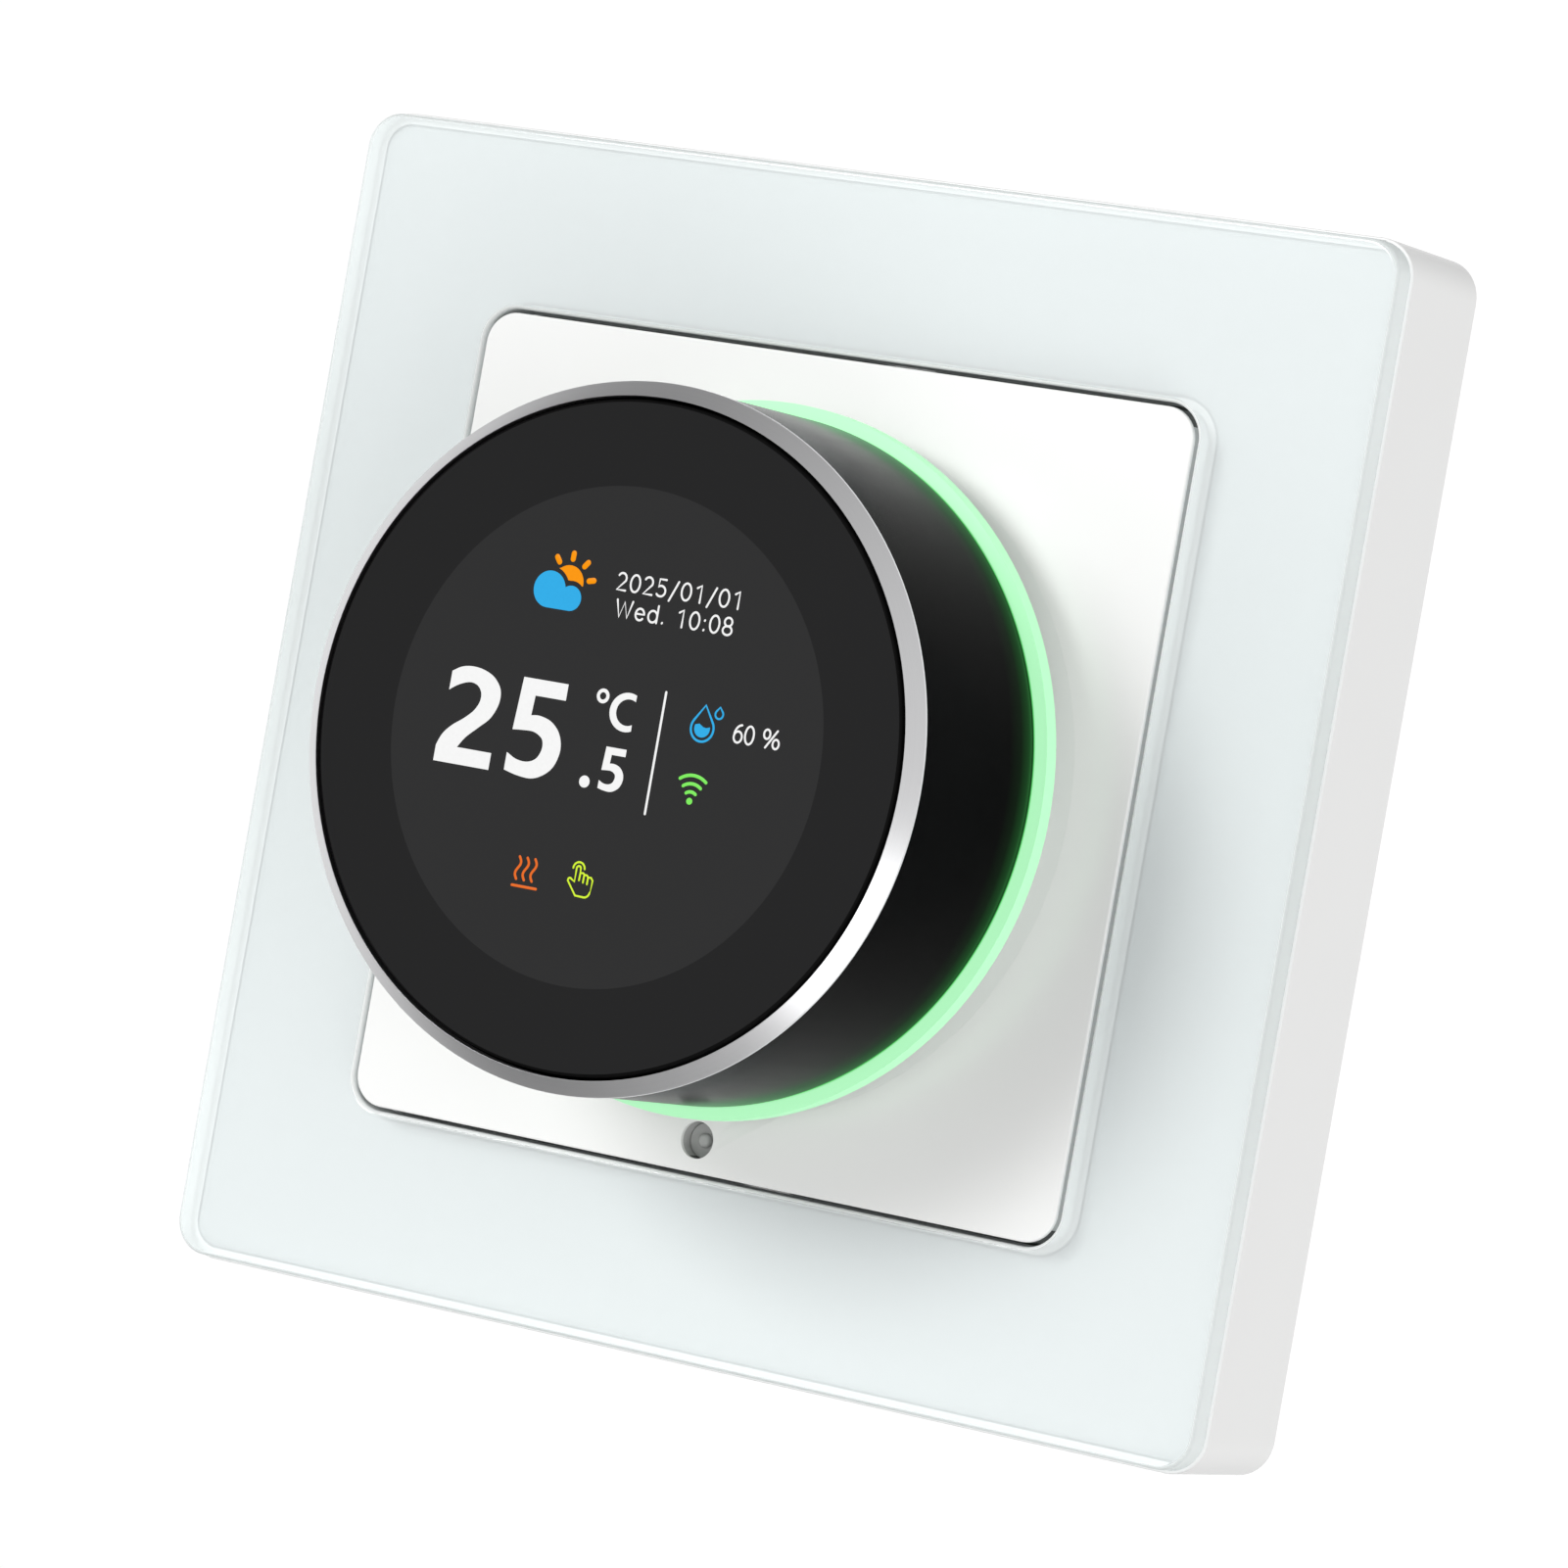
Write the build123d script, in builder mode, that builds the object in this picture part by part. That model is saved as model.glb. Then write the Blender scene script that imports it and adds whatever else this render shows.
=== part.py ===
"""Flush wall thermostat: a square glass frame, a 55 mm insert and a knob that turns and presses.

The round display stays still in the middle of the knob. The bezel and skirt turn round it on a
ring gear that drives a small encoder pinion, and the whole head presses in against a spring.
The origin is the middle of the wall plane, +Z is up and the front faces -Y.
All depths below are measured out from the wall, so a negative depth is inside the wall box.
"""
import os
from math import acos, cos, hypot, pi, radians, sin, tan

from build123d import *

os.makedirs("parts", exist_ok=True)

# Glass frame
panel_size = 80.0
panel_corner = 2.4
panel_thick = 2.9
panel_edge = 0.35
panel_proud = 1.67
panel_fit = 0.03
front_depth = 11.35
film_thick = 0.15
film_margin = 0.5
rim_thick = 0.22
rim_edge = 0.1
base_wall = 1.8
base_plate = 2.0
base_foot_height = 3.0
base_foot_width = 5.0
rib_thick = 1.2
rib_place = 8.0
rib_low = 3.5
weld = 0.2

# Insert in the middle of the frame
insert_size = 55.0
insert_corner = 2.2
insert_gap = 0.28
insert_wall = 1.2
insert_plate = 2.0
insert_edge = 0.15
insert_skirt = 7.35
nub_width = 3.0
nub_height = 1.2
nub_place = 18.0

# Knob, display and light ring
glow_margin = 4.2
glow_proud = 0.3
knob_wall = 1.0
lens_inset = 0.15
lens_thick = 1.5
lens_edge = 0.2
lens_height = 20.5
bezel_gap = 0.22
bezel_proud = 0.14
bezel_drop = 0.86
skirt_drop = 1.0
glow_height = 4.75
glow_wall = 2.7
glow_step = 1.1
glow_flare = 0.54
glow_rim = 1.23
glow_sink = 0.6
press_travel = 0.3
press_left = 0.15
side_clear = 0.3
seat_clear = 0.03

# Turning parts inside the knob
collar_step = 1.75
journal_wall = 1.8
run_clear = 0.05
end_play = 0.12
flange_thick = 1.2
web_thick = 1.5
lcd_room = 0.8
lcd_thick = 2.0
lcd_tail = 9.0
round_board_thick = 1.0
round_board_fit = 0.25
ledge_width = 1.6
clip_thick = 0.8
clip_land = 0.5
clip_depth = 0.75
clip_reach = 1.0
clip_mouth = 9.0
gear_rim = 3.322
ring_teeth = 60
pinion_teeth = 15
pressure_angle = radians(20)
gear_slack = 0.09
ring_addendum = 0.7
pinion_addendum = 0.85
gear_dedendum = 1.08
gear_width = 3.2
gear_gap = 0.4
pinion_shaft = 1.5
encoder_size = 8.4
encoder_height = 3.5
encoder_bush = 3.0
encoder_depth = 1.2

# Stem, return spring and press switch
stem_radius = 6.0
stem_wall = 1.8
stem_tail = 0.7
key_width = 2.0
key_reach = 0.9
boss_wall = 2.0
boss_height = 4.0
stop_gap = 0.05
washer_thick = 1.0
washer_radius = 11.2
washer_groove = 0.8
washer_mouth = 9.4
spring_wire = 0.6
spring_turns = 4
switch_place = 9.4
switch_size = 6.0
switch_height = 2.2
plunger_radius = 1.4
plunger_proud = 0.5
plunger_sunk = 0.9

# Front board and what it carries
board_thick = 1.2
board_clear = 0.3
led_count = 12
led_length = 1.6
led_width = 0.9
led_height = 0.7
window_length = 4.0
window_width = 1.3
sensor_inset = 2.2
sensor_hole = 1.25
sensor_bead = 1.2
sensor_depth = 1.2
sensor_eye = 0.5
sensor_dome = 0.4
sensor_recess = 0.9
sensor_lead = 0.25
sensor_round = 0.3
screw_inset = 5.5
pillar_radius = 2.3
small_screw = 0.85
small_head = 1.9
small_head_height = 1.1
screw_slack = 0.05
screw_grip = 3.0
cable_width = 5.0
cable_thick = 0.2
cable_drop = 1.2
cable_bend = 0.8
cable_run = 8.0
cable_slot = 1.6
socket_length = 8.0
socket_width = 3.0
socket_height = 1.5
pin_count = 8
pin_pitch = 2.54
pin_size = 0.64
pin_slack = 0.13
pin_reach = 4.0
plug_place = -15.0
plug_width = 2.5
plug_height = 2.5
plug_gap = 0.1

# Yoke and the unit in the wall box
yoke_margin = 4.75
yoke_corner = 3.0
yoke_thick = 1.0
yoke_window = 40.0
yoke_cut = 9.0
wall_screw_pitch = 60.0
wall_slot_radius = 1.9
wall_slot_length = 8.0
tab_place = 16.0
tab_width = 8.0
tab_height = 5.0
snap_fit = 0.05
snap_low = 1.5
unit_size = 49.0
unit_cut = 8.0
unit_depth = 26.0
unit_wall = 1.8
unit_edge = 0.6
unit_screw_place = 18.8
unit_screw = 1.1
unit_head = 2.1
unit_head_height = 1.3
unit_screw_grip = 7.0
unit_boss = 2.4
unit_boss_length = 10.0
lid_thick = 1.5
lid_clear = 0.25
lid_slot_clear = 0.4
power_board_thick = 1.6
power_board_gap = 2.9
power_board_cut = 11.5
rail_width = 1.6
rail_length = 14.0
relay_length = 19.0
relay_width = 15.5
relay_height = 14.5
relay_edge = 0.8
relay_x = -10.6
relay_z = 8.2
core_width = 14.0
core_height = 13.0
core_depth = 5.0
core_leg = 3.0
coil_wrap = 2.4
coil_round = 2.2
core_x = 11.0
core_z = 11.0
can_radius = 4.0
can_length = 11.0
can_edge = 0.5
can_x = 8.0
can_z = -4.0

# Terminals
way_count = 6
way_pitch = 5.08
block_height = 11.0
block_depth = 13.0
block_fit = 0.1
wire_hole = 3.4
wire_depth = 8.5
clamp_wall = 0.4
clamp_fit = 0.05
clamp_length = 5.0
clamp_inset = 2.6
tail_size = 1.0
terminal_head = 1.55
terminal_screw = 1.0
terminal_slot = 0.6
terminal_sink = 1.2

# Depths that follow from the sizes above
glass_back = front_depth - panel_thick
base_floor = glass_back - film_thick
rim_top = front_depth - panel_proud
base_size = panel_size + 2 * (panel_fit + rim_thick)
base_corner = panel_corner + panel_fit + rim_thick
base_hollow = base_floor - base_plate
opening_size = insert_size + 2 * insert_gap
opening_corner = insert_corner + insert_gap
opening_wall = opening_size + 2 * base_wall
plate_back = front_depth - insert_plate
insert_back = front_depth - insert_skirt
insert_inside = insert_size - 2 * insert_wall
lens_front = front_depth + lens_height
lens_back = lens_front - lens_thick
flange_back = lens_back - flange_thick
lcd_back = lens_back - lcd_thick
round_board_back = lcd_back - round_board_thick
web_front = round_board_back - encoder_height
web_back = web_front - web_thick
glow_radius = insert_size / 2 - glow_margin
knob_radius = glow_radius - glow_proud
skirt_bore = knob_radius - knob_wall
journal_radius = skirt_bore - collar_step - run_clear
journal_bore = journal_radius - journal_wall
lcd_radius = journal_bore - lcd_room
lens_radius = skirt_bore - lens_inset
bezel_bore = lens_radius + bezel_gap
bezel_radius = knob_radius + bezel_proud
skirt_front = lens_front - skirt_drop
glow_front = front_depth + glow_height
skirt_back = glow_front + press_travel + press_left
clip_back = web_back + clip_land
clip_front = clip_back + clip_thick
collar_back = clip_front + end_play
collar_front = flange_back - end_play
gear_module = (skirt_bore - seat_clear - gear_rim) / (ring_teeth / 2 + gear_dedendum)
ring_pitch = gear_module * ring_teeth / 2
pinion_pitch = gear_module * pinion_teeth / 2
gear_centre = ring_pitch - pinion_pitch
gear_front = web_back - gear_gap
gear_back = gear_front - gear_width
boss_front = front_depth + boss_height
boss_radius = stem_radius + boss_wall
washer_front = plate_back - stop_gap
washer_back = washer_front - washer_thick
stem_back = washer_back - stem_tail
plunger_front = washer_back - stop_gap
switch_front = plunger_front - plunger_proud
board_front = switch_front - switch_height
board_back = board_front - board_thick
board_size = insert_inside - 2 * board_clear
sensor_drop = insert_size / 2 - sensor_inset
screw_place = insert_size / 2 - screw_inset
yoke_size = base_size - 2 * yoke_margin
glow_bore = glow_radius - glow_wall
glow_tube = skirt_bore - side_clear
led_ring = (glow_radius + glow_bore) / 2
unit_inside = unit_size - 2 * unit_wall
power_front = -lid_thick - power_board_gap
power_back = power_front - power_board_thick
plug_back = board_back - plug_height
socket_front = plug_back - plug_gap
block_length = way_count * way_pitch
block_back = -unit_depth
block_front = block_back + block_depth
block_bottom = -unit_size / 2 + block_fit
block_middle = block_bottom + block_height / 2
wire_level = block_back + block_depth / 2

# Half plane through the knob's axis: the first number is the radius, the second the depth
turning = Plane(origin=(0, 0, 0), x_dir=(1, 0, 0), z_dir=(0, 0, -1))


def out(depth):
    """Plane parallel to the wall at this depth, facing the room."""
    return Plane.XZ.offset(depth)


def polar(radius, angle):
    """Point at this radius and angle in the open sketch."""
    return (radius * cos(angle), radius * sin(angle))


def roll(base, radius):
    """Angle that an involute of this base circle has turned at a radius."""
    lean = acos(min(1.0, base / radius))
    return tan(lean) - lean


def tooth_outline(count, land, low, high, slack):
    """Draw a closed ring of involute teeth, with lands between them at the land radius."""
    pitch_radius = gear_module * count / 2
    base = pitch_radius * cos(pressure_angle)
    half_tooth = pi / (2 * count) - slack / (2 * pitch_radius) + roll(base, pitch_radius)
    step = 2 * pi / count

    def flank(radius, side, tooth):
        half = half_tooth - roll(base, radius)
        return polar(radius, tooth * step + side * half)

    low_half = half_tooth - roll(base, low)
    middle = (low + high) / 2
    for tooth in range(count):
        ThreePointArc(flank(low, -1, tooth), flank(middle, -1, tooth), flank(high, -1, tooth))
        ThreePointArc(flank(high, -1, tooth), polar(high, tooth * step), flank(high, 1, tooth))
        ThreePointArc(flank(high, 1, tooth), flank(middle, 1, tooth), flank(low, 1, tooth))
        land_start = polar(land, tooth * step + low_half)
        land_end = polar(land, (tooth + 1) * step - low_half)
        ThreePointArc(land_start, polar(land, (tooth + 0.5) * step), land_end)
        if land < low:
            Line(flank(low, 1, tooth), land_start)
            Line(land_end, flank(low, -1, tooth + 1))


# Front glass of the frame, one clear plate with a square opening
with BuildPart() as glass_panel:
    with BuildSketch(out(glass_back)):
        RectangleRounded(panel_size, panel_size, panel_corner)
        RectangleRounded(opening_size, opening_size, opening_corner, mode=Mode.SUBTRACT)
    extrude(amount=panel_thick)
    fillet(glass_panel.faces().sort_by(Axis.Y)[0].edges(), radius=panel_edge)
glass_panel.part.label = "glass_panel"
export_step(glass_panel.part, "parts/glass_panel.step")

# White film that bonds the glass to the base
with BuildPart() as panel_film:
    with BuildSketch(out(base_floor)):
        film_size = panel_size - 2 * film_margin
        film_opening = opening_size + 2 * film_margin
        RectangleRounded(film_size, film_size, panel_corner - film_margin)
        RectangleRounded(film_opening, film_opening, opening_corner + film_margin, mode=Mode.SUBTRACT)
    extrude(amount=film_thick)
panel_film.part.label = "panel_film"
export_step(panel_film.part, "parts/panel_film.step")

# Moulded base of the frame, hollow at the back, with ribs and snap blocks for the yoke
with BuildPart() as frame_base:
    with BuildSketch(out(0)):
        RectangleRounded(base_size, base_size, base_corner)
        RectangleRounded(opening_size, opening_size, opening_corner, mode=Mode.SUBTRACT)
    extrude(amount=rim_top)
    with BuildSketch(out(base_floor)):
        seat_size = panel_size + 2 * panel_fit
        RectangleRounded(seat_size, seat_size, panel_corner + panel_fit)
    extrude(amount=rim_top - base_floor, mode=Mode.SUBTRACT)
    fillet(frame_base.faces().sort_by(Axis.Y)[0].outer_wire().edges(), radius=rim_edge)
    with BuildSketch(out(0)):
        hollow_size = base_size - 2 * base_wall
        RectangleRounded(hollow_size, hollow_size, base_corner - base_wall)
        RectangleRounded(opening_wall, opening_wall, opening_corner + base_wall, mode=Mode.SUBTRACT)
    extrude(amount=base_hollow, mode=Mode.SUBTRACT)
    with BuildSketch(out(0)):
        RectangleRounded(opening_wall + weld, opening_wall + weld, opening_corner + base_wall)
    extrude(amount=yoke_thick, mode=Mode.SUBTRACT)
    with BuildSketch(out(yoke_thick)):
        notch_width = opening_wall - 2 * base_foot_width
        Rectangle(opening_wall + weld, notch_width)
        Rectangle(notch_width, opening_wall + weld)
    extrude(amount=base_foot_height, mode=Mode.SUBTRACT)
    rib_length = (hollow_size - opening_wall) / 2 + 2 * weld
    rib_middle = (hollow_size + opening_wall) / 2
    with BuildSketch(out(rib_low + yoke_thick)):
        with GridLocations(2 * rib_place, rib_middle, 2, 2):
            Rectangle(rib_thick, rib_length)
        with GridLocations(rib_middle, 2 * rib_place, 2, 2):
            Rectangle(rib_length, rib_thick)
    extrude(amount=base_hollow - rib_low - yoke_thick)
    snap_face = yoke_size / 2 + snap_fit
    snap_width = hollow_size / 2 - snap_face + weld
    with BuildSketch(out(snap_low)):
        with GridLocations(2 * snap_face + snap_width, 2 * tab_place, 2, 2):
            Rectangle(snap_width, tab_width)
    extrude(amount=base_hollow - snap_low)
frame_base.part.label = "frame_base"
export_step(frame_base.part, "parts/frame_base.step")

# White insert with the guide for the knob, the light windows and the sensor hole
with BuildPart() as insert_cover:
    with BuildSketch(out(insert_back)):
        RectangleRounded(insert_size, insert_size, insert_corner)
    extrude(amount=insert_skirt)
    fillet(insert_cover.faces().sort_by(Axis.Y)[0].edges(), radius=insert_edge)
    with BuildSketch(out(insert_back)):
        RectangleRounded(insert_inside, insert_inside, insert_corner - insert_wall)
    extrude(amount=plate_back - insert_back, mode=Mode.SUBTRACT)
    with BuildSketch(out(plate_back)):
        Circle(boss_radius)
    extrude(amount=boss_front - plate_back)
    with BuildSketch(out(plate_back)):
        Circle(stem_radius + run_clear)
        Rectangle(2 * (stem_radius + key_reach + run_clear), key_width + 2 * run_clear)
    extrude(amount=boss_front - plate_back, mode=Mode.SUBTRACT)
    with BuildSketch(out(front_depth - glow_sink)):
        Circle(glow_radius + seat_clear)
        Circle(glow_bore - seat_clear, mode=Mode.SUBTRACT)
    extrude(amount=glow_sink, mode=Mode.SUBTRACT)
    with BuildSketch(out(plate_back)):
        with PolarLocations(led_ring, led_count):
            Rectangle(window_width, window_length)
    extrude(amount=insert_plate, mode=Mode.SUBTRACT)
    with BuildSketch(out(plate_back - sensor_recess)):
        with Locations((0, -sensor_drop)):
            Circle(sensor_hole)
    extrude(amount=insert_plate + sensor_recess, mode=Mode.SUBTRACT)
    with BuildSketch(out(board_front)):
        with GridLocations(2 * screw_place, 2 * screw_place, 2, 2):
            Circle(pillar_radius)
    extrude(amount=plate_back - board_front)
    with BuildSketch(out(board_front)):
        with GridLocations(2 * screw_place, 2 * screw_place, 2, 2):
            Circle(small_screw + screw_slack)
    extrude(amount=screw_grip + screw_slack, mode=Mode.SUBTRACT)
    with BuildSketch(out(base_floor - base_plate)):
        with GridLocations(2 * nub_place, insert_size + insert_gap - weld, 2, 2):
            Rectangle(nub_width, insert_gap + weld)
    extrude(amount=nub_height)
insert_cover.part.label = "insert_cover"
export_step(insert_cover.part, "parts/insert_cover.step")

# Frosted light ring under the knob: a rim that stands out over its foot, and a tube that hides the gap
with BuildPart() as light_ring:
    with BuildSketch(turning):
        with BuildLine():
            glow_back = front_depth - glow_sink
            flare_radius = glow_radius + glow_flare
            flare_back = glow_front - glow_rim
            Polyline(
                (glow_bore, glow_back), (glow_radius, glow_back), (glow_radius, flare_back),
                (flare_radius, flare_back), (flare_radius, glow_front),
                (glow_tube, glow_front), (glow_tube, glow_front + glow_step),
                (glow_bore, glow_front + glow_step), close=True,
            )
        make_face()
    revolve(axis=Axis.Y)
light_ring.part.label = "light_ring"
export_step(light_ring.part, "parts/light_ring.step")

# Sliding hub of the head: flange for the lens, journal for the dial, web and keyed stem
with BuildPart() as head_carriage:
    stem_bore = stem_radius - stem_wall
    with BuildSketch(turning):
        with BuildLine():
            Polyline(
                (stem_bore, stem_back), (stem_radius, stem_back), (stem_radius, web_back),
                (journal_radius, web_back), (journal_radius, clip_back),
                (journal_radius - clip_depth, clip_back), (journal_radius - clip_depth, clip_front),
                (journal_radius, clip_front), (journal_radius, flange_back),
                (skirt_bore - side_clear, flange_back), (skirt_bore - side_clear, lens_back),
                (journal_bore, lens_back), (journal_bore, round_board_back),
                (journal_bore - ledge_width, round_board_back), (journal_bore - ledge_width, web_front),
                (stem_bore, web_front), close=True,
            )
        make_face()
    revolve(axis=Axis.Y)
    key_front = boss_front - press_travel - run_clear
    with BuildSketch(out(stem_back)):
        Rectangle(2 * (stem_radius + key_reach), key_width)
        Circle(stem_bore + weld, mode=Mode.SUBTRACT)
    extrude(amount=key_front - stem_back)
    with BuildSketch(out(washer_back)):
        Circle(stem_radius + 2 * key_reach)
        Circle(stem_radius - washer_groove, mode=Mode.SUBTRACT)
    extrude(amount=washer_thick, mode=Mode.SUBTRACT)
    with BuildSketch(out(web_back)):
        with Locations((gear_centre, 0)):
            Circle(encoder_bush + seat_clear)
    extrude(amount=web_thick, mode=Mode.SUBTRACT)
    with BuildSketch(out(web_front)):
        with Locations((gear_centre, 0)):
            Rectangle(encoder_size + 2 * side_clear, encoder_size + 2 * side_clear)
    extrude(amount=encoder_height, mode=Mode.SUBTRACT)
head_carriage.part.label = "head_carriage"
export_step(head_carriage.part, "parts/head_carriage.step")

# Smoked front lens over the display
with BuildPart() as display_lens:
    with BuildSketch(out(lens_back)):
        Circle(lens_radius)
    extrude(amount=lens_thick)
    fillet(display_lens.edges().group_by(Axis.Y)[0], radius=lens_edge)
display_lens.part.label = "display_lens"
export_step(display_lens.part, "parts/display_lens.step")

# Round display panel with its flat connecting edge
with BuildPart() as display_panel:
    with BuildSketch(out(lcd_back)):
        Circle(lcd_radius)
        with Locations((0, -lcd_radius)):
            Rectangle(lcd_tail, lcd_thick, mode=Mode.SUBTRACT)
    extrude(amount=lcd_thick)
display_panel.part.label = "display_panel"
export_step(display_panel.part, "parts/display_panel.step")

# Round board behind the display
with BuildPart() as display_board:
    with BuildSketch(out(round_board_back)):
        Circle(journal_bore - round_board_fit)
    extrude(amount=round_board_thick)
display_board.part.label = "display_board"
export_step(display_board.part, "parts/display_board.step")

# Encoder body with the bush that holds the pinion's shaft
with BuildPart() as encoder_body:
    with BuildSketch(out(web_front)):
        with Locations((gear_centre, 0)):
            Rectangle(encoder_size, encoder_size)
    extrude(amount=encoder_height)
    with BuildSketch(out(web_back)):
        with Locations((gear_centre, 0)):
            Circle(encoder_bush)
    extrude(amount=web_thick)
    with BuildSketch(out(web_back)):
        with Locations((gear_centre, 0)):
            Circle(pinion_shaft + run_clear)
    extrude(amount=web_thick + encoder_depth + end_play, mode=Mode.SUBTRACT)
encoder_body.part.label = "encoder_body"
export_step(encoder_body.part, "parts/encoder_body.step")

# Encoder pinion on its shaft
with BuildPart() as encoder_pinion:
    with BuildSketch(out(gear_back)):
        with BuildLine(Location((gear_centre, 0))):
            tooth_outline(
                pinion_teeth,
                land=pinion_pitch - gear_dedendum * gear_module,
                low=pinion_pitch * cos(pressure_angle),
                high=pinion_pitch + pinion_addendum * gear_module,
                slack=gear_slack / 2,
            )
        make_face()
    extrude(amount=gear_width)
    with BuildSketch(out(gear_front)):
        with Locations((gear_centre, 0)):
            Circle(pinion_shaft)
    extrude(amount=web_front + encoder_depth - gear_front)
encoder_pinion.part.label = "encoder_pinion"
export_step(encoder_pinion.part, "parts/encoder_pinion.step")

# Ring gear inside the skirt
with BuildPart() as ring_gear:
    with BuildSketch(out(gear_back)):
        Circle(skirt_bore - seat_clear)
        with BuildSketch(mode=Mode.SUBTRACT):
            with BuildLine():
                ring_tip = ring_pitch - ring_addendum * gear_module
                tooth_outline(
                    ring_teeth,
                    land=ring_tip,
                    low=ring_tip,
                    high=ring_pitch + gear_dedendum * gear_module,
                    slack=-gear_slack / 2,
                )
            make_face()
    extrude(amount=gear_width)
ring_gear.part.label = "ring_gear"
export_step(ring_gear.part, "parts/ring_gear.step")

# Black skirt of the dial, with the collar that runs on the journal
with BuildPart() as knob_skirt:
    with BuildSketch(turning):
        with BuildLine():
            Polyline(
                (skirt_bore, skirt_back), (knob_radius, skirt_back), (knob_radius, skirt_front),
                (skirt_bore, skirt_front), (skirt_bore, collar_front),
                (journal_radius + run_clear, collar_front), (journal_radius + run_clear, collar_back),
                (skirt_bore, collar_back), close=True,
            )
        make_face()
    revolve(axis=Axis.Y)
knob_skirt.part.label = "knob_skirt"
export_step(knob_skirt.part, "parts/knob_skirt.step")

# Turned bezel on the front of the dial
with BuildPart() as knob_bezel:
    with BuildSketch(turning):
        with BuildLine():
            Polyline(
                (bezel_bore, skirt_front), (bezel_radius, skirt_front),
                (bezel_radius, lens_front - bezel_drop), (bezel_bore, lens_front), close=True,
            )
        make_face()
    revolve(axis=Axis.Y)
knob_bezel.part.label = "knob_bezel"
export_step(knob_bezel.part, "parts/knob_bezel.step")

# Open spring clip that keeps the dial on the journal
with BuildPart() as dial_clip:
    with BuildSketch(out(clip_back)):
        Circle(journal_radius + clip_reach)
        Circle(journal_radius - clip_depth + seat_clear, mode=Mode.SUBTRACT)
        with Locations((0, -journal_radius)):
            Rectangle(clip_mouth, journal_radius, mode=Mode.SUBTRACT)
    extrude(amount=clip_thick)
dial_clip.part.label = "dial_clip"
export_step(dial_clip.part, "parts/dial_clip.step")

# Slotted washer on the stem: stops the head from the front and works the switch
with BuildPart() as stem_washer:
    with BuildSketch(out(washer_back)):
        Circle(washer_radius)
        Circle(stem_radius - washer_groove + seat_clear, mode=Mode.SUBTRACT)
        with Locations((0, washer_radius / 2)):
            Rectangle(washer_mouth, washer_radius + weld, mode=Mode.SUBTRACT)
    extrude(amount=washer_thick)
stem_washer.part.label = "stem_washer"
export_step(stem_washer.part, "parts/stem_washer.step")

# Return spring between the guide boss and the head, wound in tilted half turns
with BuildPart() as return_spring:
    spring_radius = stem_radius + (boss_wall + run_clear) / 2
    spring_start = boss_front + spring_wire / 2
    spring_step = (web_back - boss_front - spring_wire) / (2 * spring_turns)
    with BuildLine() as coil:
        for half in range(2 * spring_turns):
            side = spring_radius if half % 2 == 0 else -spring_radius
            crown = hypot(spring_radius, spring_step / 2) * side / spring_radius
            depth = spring_start + half * spring_step
            ThreePointArc(
                (side, -depth, 0),
                (0, -depth - spring_step / 2, crown),
                (-side, -depth - spring_step, 0),
            )
    wire = coil.wires()[0]
    with BuildSketch(Plane(origin=wire @ 0, z_dir=wire % 0)):
        Circle(spring_wire / 2)
    sweep(path=wire)
return_spring.part.label = "return_spring"
export_step(return_spring.part, "parts/return_spring.step")

# Press switch on the front board
with BuildPart() as switch_body:
    with BuildSketch(out(board_front)):
        with Locations((0, -switch_place)):
            Rectangle(switch_size, switch_size)
    extrude(amount=switch_height)
    plunger_back = switch_front - plunger_sunk
    with BuildSketch(out(plunger_back - press_travel - press_left)):
        with Locations((0, -switch_place)):
            Circle(plunger_radius + run_clear)
    extrude(amount=plunger_sunk + press_travel + press_left, mode=Mode.SUBTRACT)
switch_body.part.label = "switch_body"
export_step(switch_body.part, "parts/switch_body.step")

with BuildPart() as switch_plunger:
    with BuildSketch(out(plunger_back)):
        with Locations((0, -switch_place)):
            Circle(plunger_radius)
    extrude(amount=plunger_front - plunger_back)
switch_plunger.part.label = "switch_plunger"
export_step(switch_plunger.part, "parts/switch_plunger.step")

# Front board with its cable slot and screw holes
with BuildPart() as front_board:
    with BuildSketch(out(board_back)):
        RectangleRounded(board_size, board_size, insert_corner - insert_wall)
        Rectangle(cable_width + cable_slot, cable_slot, mode=Mode.SUBTRACT)
        with GridLocations(2 * screw_place, 2 * screw_place, 2, 2):
            Circle(small_screw + screw_slack, mode=Mode.SUBTRACT)
    extrude(amount=board_thick)
front_board.part.label = "front_board"
export_step(front_board.part, "parts/front_board.step")

with BuildPart() as board_screws:
    with BuildSketch(out(board_back - small_head_height)):
        with GridLocations(2 * screw_place, 2 * screw_place, 2, 2):
            Circle(small_head)
    extrude(amount=small_head_height)
    with BuildSketch(out(board_back)):
        with GridLocations(2 * screw_place, 2 * screw_place, 2, 2):
            Circle(small_screw)
    extrude(amount=board_thick + screw_grip)
board_screws.part.label = "board_screws"
export_step(board_screws.part, "parts/board_screws.step")

with BuildPart() as ring_leds:
    with BuildSketch(out(board_front)):
        with PolarLocations(led_ring, led_count):
            Rectangle(led_width, led_length)
    extrude(amount=led_height)
ring_leds.part.label = "ring_leds"
export_step(ring_leds.part, "parts/ring_leds.step")

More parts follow.
